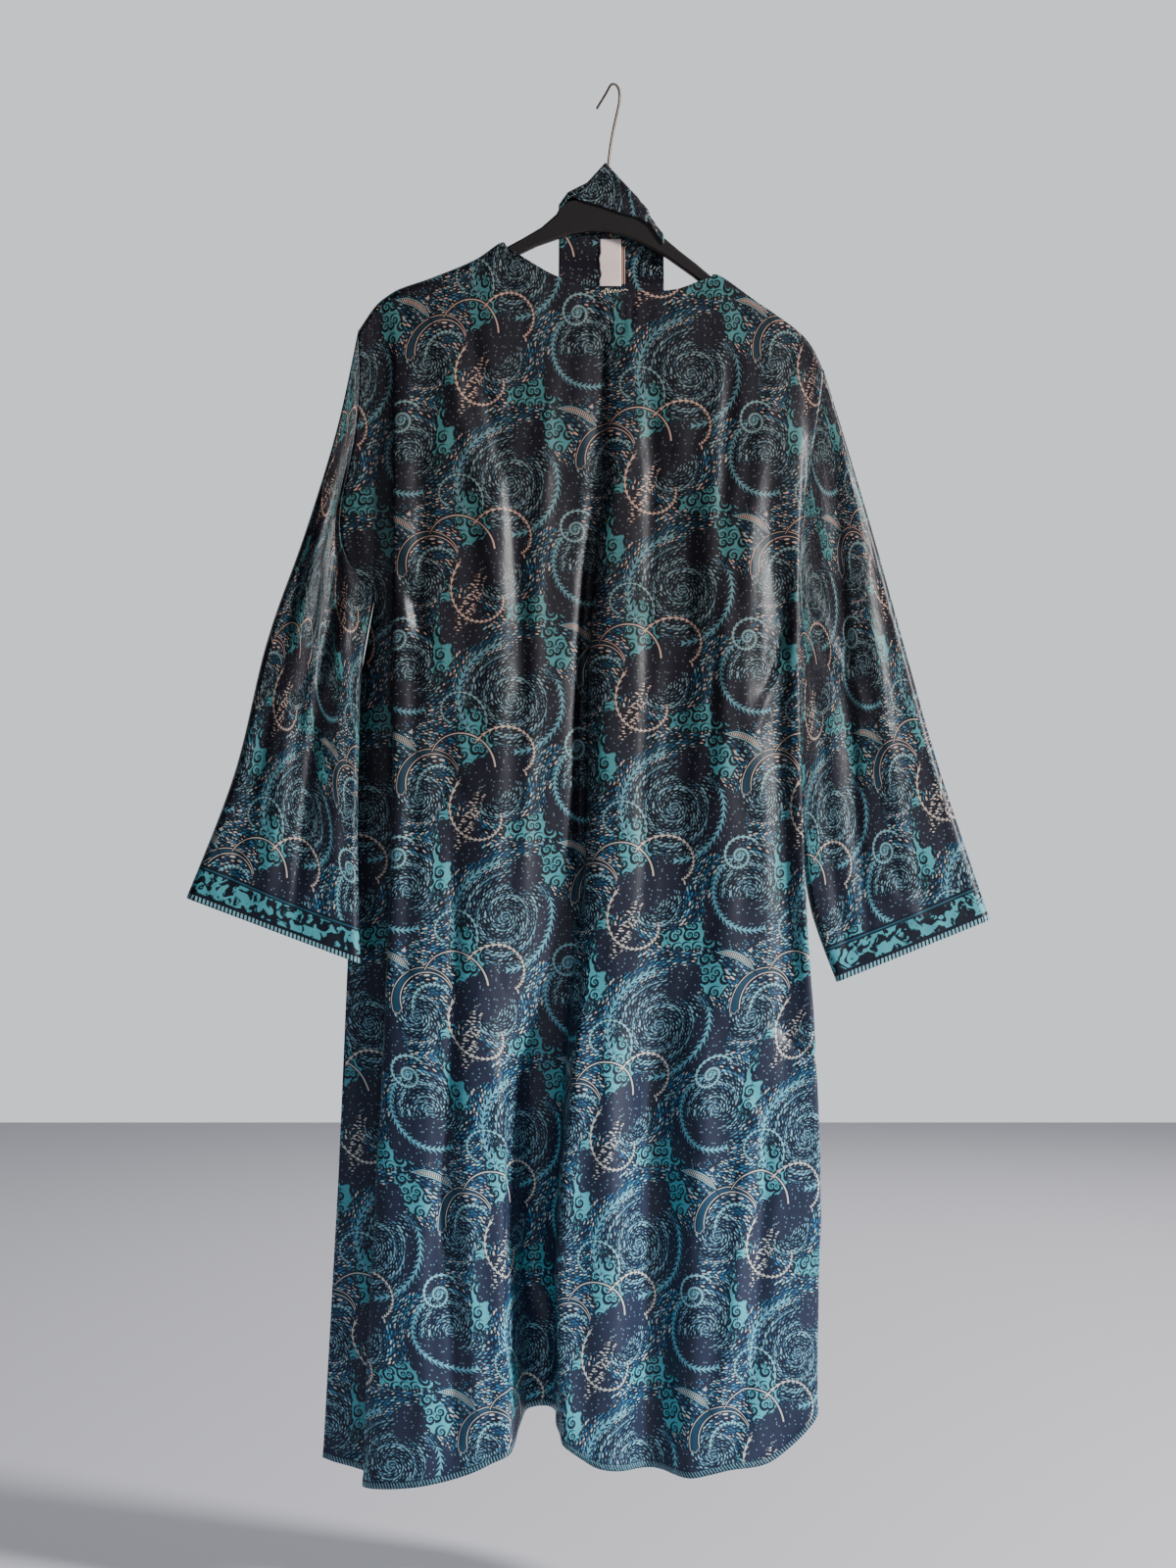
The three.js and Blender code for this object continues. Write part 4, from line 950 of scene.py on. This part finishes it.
def cuff_border(t, cloth, across, colour):
    """The cuff's border, by the distance to its edge: a dark line, a band of turquoise with dark blots of
    about 10 mm, a dark line, and the striped turned edge."""
    edge = add(t, "Attribute", attribute_name="edge").outputs["Fac"]
    uneven = add(t, "TexNoise", sockets={"Vector": cloth, "Scale": 95.0, "Detail": 2.0, "Distortion": 1.2})
    blots = soft(t, uneven.outputs["Fac"], 0.47, 0.51)
    border = add(t, "MixRGB", blots, srgb(TURQUOISE), srgb(GROUND))
    stripes = add(t, "Math:PINGPONG", across, 2.0)
    turned_edge = add(t, "MixRGB", soft(t, stripes, 0.7, 1.1), srgb(GROUND), srgb(AQUA))
    for limit, ink in [(37.0, srgb(GROUND)), (34.5, srgb("#2f6a74")), (33.2, srgb(GROUND)), (31.5, border),
                       (9.0, srgb(GROUND)), (5.5, turned_edge)]:
        colour = add(t, "MixRGB", soft(t, edge, limit + 0.4, limit - 0.4), colour, ink)
    return colour


def whipped_hem(t, across, colour):
    """The hem: a dark turned edge, whipped down with short slanting stitches."""
    hem = add(t, "Attribute", attribute_name="hem").outputs["Fac"]
    slanting = add(t, "Math:PINGPONG", add(t, "Math:MULTIPLY_ADD", hem, 0.6, across), 1.5)
    whipped = add(t, "Math:MULTIPLY", soft(t, slanting, 0.55, 0.25), soft(t, hem, 6.4, 5.6))
    colour = add(t, "MixRGB", add(t, "Math:MULTIPLY", soft(t, hem, 8.5, 6.5), 0.75), colour, srgb(GROUND))
    return add(t, "MixRGB", add(t, "Math:MULTIPLY", whipped, 0.7), colour, srgb(AQUA))


# Painted light by height, in metres: the tint goes from the greyer, darker shoulders' to the brighter,
# bluer hem's, and a dark blue is added lower down, both standing in for how the light falls.
SHADE_BY_HEIGHT = {"tinted": (-0.45, -1.15), "shoulders": (0.38, 0.31, 0.33, 1), "hem": (0.68, 0.92, 1.14, 1),
       "blued": (-0.60, -1.25), "none": (0, 0, 0, 1), "blue_lift": (0.004, 0.010, 0.028, 1)}


def shaded_by_height(t, colour):
    """Painted light: the colour goes from greyer, darker shoulders to a brighter, bluer hem, where a dark
    blue is added over the bare ground, standing in for how the light falls.
    """
    height = add(t, "SeparateXYZ", add(t, "TexCoord").outputs["Object"]).outputs[2]
    tint = add(t, "MixRGB", soft(t, height, *SHADE_BY_HEIGHT["tinted"]), SHADE_BY_HEIGHT["shoulders"], SHADE_BY_HEIGHT["hem"])
    colour = add(t, "MixRGB", 1.0, colour, tint, blend_type="MULTIPLY")
    blue_lift = add(t, "MixRGB", soft(t, height, *SHADE_BY_HEIGHT["blued"]), SHADE_BY_HEIGHT["none"], SHADE_BY_HEIGHT["blue_lift"])
    return add(t, "MixRGB", 1.0, colour, blue_lift, blend_type="ADD")


def satin_relief(t, cloth):
    """The silk's relief: soft crinkles about 17 mm across and 38 mm down, and a slub 2.4 by 1.1 mm, coarser
    than the real threads so that it shows."""
    crinkle = add(t, "TexNoise", sockets={"Vector": add(t, "Mapping", cloth, None, None, (60, 26, 1)),
                                          "Scale": 1.0, "Detail": 3.0}, noise_dimensions="2D")
    weave = add(t, "TexNoise", sockets={"Vector": add(t, "Mapping", cloth, None, None, (420, 900, 1)),
                                        "Scale": 1.0, "Detail": 1.0}, noise_dimensions="2D")
    fold = add(t, "Bump", sockets={"Strength": 0.35, "Distance": 0.002, "Height": crinkle.outputs["Fac"]})
    return add(t, "Bump", sockets={"Strength": 0.12, "Distance": 0.0006, "Height": weave.outputs["Fac"],
                                    "Normal": fold})


def printed_silk():
    """Doubled silk satin, screen printed with an all-over paisley of whorls, scrolls, feathers and seeds: a
    low, broad lustre from the satin floats and a slight crinkle. The print is inks in a half-drop
    repeat."""
    material, t, shader = surface("printed silk satin", GROUND, Roughness=0.44, Sheen_Weight=0.03,
                                  Sheen_Roughness=0.4, Specular_IOR_Level=0.36)
    shader.inputs["Sheen Tint"].default_value = srgb("#a9c6d6")
    cloth = add(t, "UVMap", uv_map="cloth")
    cell = repeat_cell(t, cloth, (0.0, 0.0, 0.0))
    other = repeat_cell(t, cloth, (0.5, 0.25, 0.0))
    noise = add(t, "TexNoise", sockets={"Vector": cell, "Scale": 0.11, "Detail": 3.0, "Roughness": 0.6},
                noise_dimensions="2D")
    wobble = add(t, "Math:MULTIPLY_ADD", noise.outputs["Fac"], 1.1, 0.45)

    colour = seeded_ground(t, cell, noise)
    colour = curled_pools(t, cell, wobble, colour)
    colour = bare_patches(t, cell, other, wobble, colour)
    for centre, angle, size, shrink, turns, width, hand in FEATHERS:
        inside = scroll(t, cell, centre, angle, size, shrink, turns, width, 0.6, 50, 4.2, 0.45, hand)
        colour = drawn(t, colour, inside, (0, "#7dbcbd"))
    colour = peach_spray(t, other, wobble, colour)
    for centre, angle, size, shrink, turns, width, tip, teeth, bite, slant, hand, inks in SCROLLS:
        inside = scroll(t, other, centre, angle, size, shrink, turns, width, tip, teeth, bite, slant, hand)
        colour = drawn(t, colour, inside, *inks)
    colour = ribbed_pod(t, other, colour)
    across = add(t, "Math:MULTIPLY", add(t, "SeparateXYZ", cloth).outputs[0], 1000.0)
    colour = whipped_hem(t, across, cuff_border(t, cloth, across, colour))
    # The colour is shaded by height as painted light, darker at the shoulders and brighter and bluer
    # towards the hem.
    t.links.new(shaded_by_height(t, colour).outputs[0], shader.inputs["Base Color"])
    t.links.new(satin_relief(t, cloth).outputs[0], shader.inputs["Normal"])
    return material


def woven_tape():
    """A woven polyester tape: matt, pale pink, with a fine rib across it. The rib comes each 1.2 mm, which
    is coarser than the real one so that it shows."""
    material, t, shader = surface("woven tape", "#dcc8bf", Roughness=0.85)
    place = add(t, "TexCoord").outputs["Object"]
    rib = add(t, "TexWave", sockets={"Vector": place, "Scale": 260.0}, bands_direction="Z")
    bump = add(t, "Bump", sockets={"Strength": 0.2, "Distance": 0.0003, "Height": rib.outputs["Fac"]})
    t.links.new(bump.outputs[0], shader.inputs["Normal"])
    return material


def edge_tape():
    """The turned edge of a second tape: dark brown with two peach threads along it."""
    material, t, shader = surface("dark tape edge", "#3a2a26", Roughness=0.85)
    x = add(t, "SeparateXYZ", add(t, "TexCoord").outputs["Object"]).outputs[0]
    thread = add(t, "Math:PINGPONG", add(t, "Math:MULTIPLY_ADD", x, 1000.0, -8.0), 1.1)
    colour = add(t, "MixRGB", soft(t, thread, 0.45, 0.3), srgb("#3a2a26"), srgb("#c99a80"))
    t.links.new(colour.outputs[0], shader.inputs["Base Color"])
    return material


def hanger_plastic():
    """Injection-moulded polystyrene, black-brown, satin: a broad soft highlight on its bevelled rims, and a
    grain of about 1 mm."""
    material, t, shader = surface("moulded polystyrene", "#1d1817", Roughness=0.5,
                                  Specular_IOR_Level=0.3)
    place = add(t, "TexCoord").outputs["Object"]
    grain = add(t, "TexNoise", sockets={"Vector": place, "Scale": 900.0})
    bump = add(t, "Bump", sockets={"Strength": 0.08, "Distance": 0.0004, "Height": grain.outputs["Fac"]})
    t.links.new(bump.outputs[0], shader.inputs["Normal"])
    return material


def drawn_wire():
    """Drawn steel wire, plated and dulled by age: a grey-brown metal with a narrow streak of light."""
    return surface("drawn steel wire", "#6a5c55", Metallic=1.0, Roughness=0.45)[0]


def sewing_thread():
    """Spun and mercerised cotton thread, peach: matt, with hardly any lustre."""
    return surface("sewing thread", PEACH, Roughness=0.7)[0]


# ---- the pieces ------------------------------------------------------------------------------------------

silk = printed_silk()
tape = woven_tape()
plastic = hanger_plastic()
wire = drawn_wire()


def declared(node):
    """Hides the CAD part that a cloth piece stands for."""
    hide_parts(node)


def finished(grid, towards, creases, left, right):
    """A panel with its creases and its turned hem. left and right say which of its sides are sewn."""
    hold = panel_hold(grid, left, right)
    shaped = creased(grid, creases, towards, hold)
    return turned(shaped, towards, hem_distance(shaped))


back_plain = panel_grid(BACK_LINES, -1, left=True, right=True, fine=2.75)
back_grid = finished(back_plain, -1, BACK_CREASES, True, True)
back = laid("back_panel", back_grid, cloth_uv(back_grid, -16, (0, 0)), silk, hem=hem_distance(back_grid),
            towards=-1)
declared("back")


def neck_edge(x):
    """Height of the back's neck edge at x."""
    top = back_plain[0]
    return np.interp(x, top[:, 0], top[:, 2])


for side, lines, facing_edge, front_width in (("left", FRONT_LEFT_LINES, -1, 0.18),
                                              ("right", FRONT_RIGHT_LINES, 1, 0.155)):
    sewn = {"left": side == "left", "right": side == "right"}
    plain = panel_grid(lines, 1, opening=facing_edge, fine=3.0, **sewn)
    front_grid = finished(plain, 1, FRONT_CREASES[side], **sewn)
    front = laid("front_panel_" + side, front_grid, cloth_uv(front_grid, 0, (63 * facing_edge, 41)), silk,
                 hem=hem_distance(front_grid), towards=1)
    declared("front_" + side)
    strip = band_grid(facing_edge, 12)
    strip = turned(strip, 1, hem_distance(strip))
    band = laid("front_band_" + side, strip, cloth_uv(strip, 0, (20 * facing_edge, 77)), silk,
                hem=hem_distance(strip), towards=1)
    declared("band_" + side)

SLEEVE_FLAT = 84
for side, offset, cut, cut_area in (("left", (30, 60), (0.34, 0.5), 0.115),
                                    ("right", (-40, 130), (0.37, 0.53), 0.135)):
    plain = sleeve_grid(side, rings=150, flat=SLEEVE_FLAT, arc=9)
    grid = sleeve_creased(plain, SLEEVE_CREASES[side], SLEEVE_FLAT)
    sleeve = laid("sleeve_cloth_" + side, grid, sleeve_uv(plain, side, SLEEVE_FLAT, offset), silk,
                  edge=hem_distance(plain), ring=True)
    declared("sleeve_" + side)

neck_grid = neckband_grid(neck_edge, across=70, column_steps=24, rise_steps=8, fold_steps=16, flap_steps=20)
neckband = laid("neckband_cloth", neck_grid, cloth_uv(neck_grid, -4, (80, 30)), silk, towards=1,
                thickness=NECKBAND["silk"])
declared("neckband")


# The label lies on the band's column: its near face by height, how its left edge wanders, and how far its
# lower end curls out.
LABEL = {
    "x": (-14.5, 6.8), "z": (-151, -200), "wander": 0.7, "thickness": 0.6, "curl": 0.6, "curled": 10,
    "heights": (-151, -166.1, -173.3, -180.5, -187.7, -194.9, -200),
    "y": (4.65, 4.39, 2.47, -1.31, -5.4, -8.29, -8.93),
}
down = np.linspace(*LABEL["z"], 64)[:, None]
over = np.linspace(0, 1, 15)[None, :]
wavy = LABEL["wander"] * (np.sin(down / 4.3 + 1.0) + 0.5 * np.sin(down / 1.9))
curled = smoothstep(down, LABEL["z"][1] + LABEL["curled"], LABEL["z"][1])
curl = LABEL["curl"] * curled * np.sin(np.pi * over)
label_grid = np.stack([LABEL["x"][0] + wavy * (1 - over) + (LABEL["x"][1] - LABEL["x"][0]) * over,
                       falling(LABEL["heights"], LABEL["y"], down) - curl, down + 0 * over], axis=2)
label = laid("label_tape", label_grid, cloth_uv(label_grid, -4, (0, 0)), tape, towards=-1,
             thickness=LABEL["thickness"])
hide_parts("label")


def threads(name, paths, radius, sides, material):
    """Loose ends of thread: tubes of a few sides round paths of points. Each ring is square to the way
    there, on the cross products of the way with y and of that with the way."""
    way = np.gradient(paths, axis=1)
    way /= np.linalg.norm(way, axis=2, keepdims=True)
    beside = np.cross(way, (0.0, 1.0, 0.0))
    beside /= np.linalg.norm(beside, axis=2, keepdims=True)
    above = np.cross(beside, way)
    turn = np.linspace(0, 2 * np.pi, sides + 1)[:-1, None]
    around = np.cos(turn) * beside[:, :, None] + np.sin(turn) * above[:, :, None]
    points = paths[:, :, None] + radius * around
    index = np.arange(points[..., 0].size).reshape(points.shape[:3])
    here, there = index[:, :-1], index[:, 1:]
    walls = np.stack([here, np.roll(here, -1, axis=2), np.roll(there, -1, axis=2), there], axis=-1)
    ends = np.concatenate([index[:, 0, ::-1], index[:, -1]])
    mesh = bpy.data.meshes.new(name)
    faces = walls.reshape(-1, 4).tolist() + ends.tolist()
    mesh.from_pydata((points.reshape(-1, 3) * MM).tolist(), [], faces)
    mesh.polygons.foreach_set("use_smooth", np.ones(len(mesh.polygons), bool))
    mesh.materials.append(material)
    tubes = placed(name, mesh)
    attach(tubes, "root")


# Ends of the sewing thread, under the label: x and z of three points of each.
THREAD_ENDS = np.array([
    ((-9.5, -204.5), (-7.6, -202.2), (-6.2, -207.0)), ((-5.2, -203.6), (-4.0, -206.8), (-2.2, -203.4)),
    ((-1.0, -206.4), (0.8, -203.2), (2.2, -206.0)), ((3.0, -203.4), (5.2, -205.6), (7.4, -203.0)),
    ((8.4, -204.6), (10.4, -203.2), (13.2, -204.2)), ((-10.6, -207.4), (-9.2, -205.6), (-8.8, -208.6)),
])
THREAD = {"radius": 0.3, "sides": 5, "lift": 0.25, "points": 9}
steps = np.linspace(0, 2, THREAD["points"])
wound = np.stack([np.stack([knots(ends[:, k], steps) for k in (0, 1)], axis=1) for ends in THREAD_ENDS])
upper_back = back_grid[: len(back_grid) // 4].reshape(-1, 3)
nearest = np.argmin(((wound[:, :, None] - upper_back[:, [0, 2]]) ** 2).sum(axis=-1), axis=2)
lying = np.stack([wound[..., 0], upper_back[nearest, 1] - THREAD["lift"], wound[..., 1]], axis=2)
threads("thread_ends", lying, THREAD["radius"], THREAD["sides"], sewing_thread())

for name, material in (("hanger", plastic), ("hook", wire), ("label_under", edge_tape())):
    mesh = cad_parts[name].data
    mesh.materials.clear()
    mesh.materials.append(material)

# ---- floor, light and camera -----------------------------------------------------------------------------

FLOOR = {"z": -1.50, "corners": ((-9, -5), (9, -5), (9, 3.7), (-9, 3.7))}
floor_mesh = bpy.data.meshes.new("floor")
floor_mesh.from_pydata([(*corner, FLOOR["z"]) for corner in FLOOR["corners"]], [], [(0, 1, 2, 3)])
floor_mesh.materials.append(surface("painted floor", "#d2cfd6", Roughness=0.9)[0])
placed("floor", floor_mesh)

# A studio: dim in front, so that the folds stay dark, and pale behind the garment, as a lit wall.
world = bpy.data.worlds.new("studio")
world.use_nodes = True
sky = world.node_tree
background = sky.nodes["Background"]
away = add(sky, "SeparateXYZ", add(sky, "TexCoord")).outputs[1]
behind = add(sky, "MapRange", away, 0.2, 0.8)
air = add(sky, "MixRGB", behind, srgb("#3e4751"), (0.88, 0.93, 0.98, 1))
sky.links.new(air.outputs[0], background.inputs[0])
bpy.context.scene.world = world

# The lamps: place and aim, size in metres, power in watts and colour.
for name, place, aim, size, power, colour in (
        ("window", (3.1, -1.5, 0.5), (0, 0, -0.75), 0.55, 262, "#ffffff"),
        ("fill", (0.4, -3.4, 0.3), (0, 0, -0.7), 1.2, 6, "#e8f0ff"),
        ("back light", (0.8, 2.6, 0.8), (0, 0, -0.7), 1.8, 40, "#ffffff")):
    light = bpy.data.lights.new(name, "AREA")
    light.shape = "DISK"
    light.size = size
    light.energy = power
    light.color = srgb(colour)[:3]
    lamp = placed(name, light)
    lamp.location = place
    way = np.subtract(aim, place)
    lamp.rotation_euler = (math.atan2(math.hypot(way[0], way[1]), -way[2]), 0, math.atan2(-way[0], way[1]))

# The camera: its distance from the cloth's face, the height of the picture there, and where it stands.
CAMERA = {"distance": 2.6, "picture": 1.544, "x": -0.026, "cloth": -0.012, "z": -0.691}
camera_data = bpy.data.cameras.new("camera")
camera_data.lens = 36 * CAMERA["distance"] / CAMERA["picture"]
camera = placed("camera", camera_data)
camera.location = (CAMERA["x"], CAMERA["cloth"] - CAMERA["distance"], CAMERA["z"])
camera.rotation_euler = (math.pi / 2, 0, 0)
bpy.context.scene.camera = camera
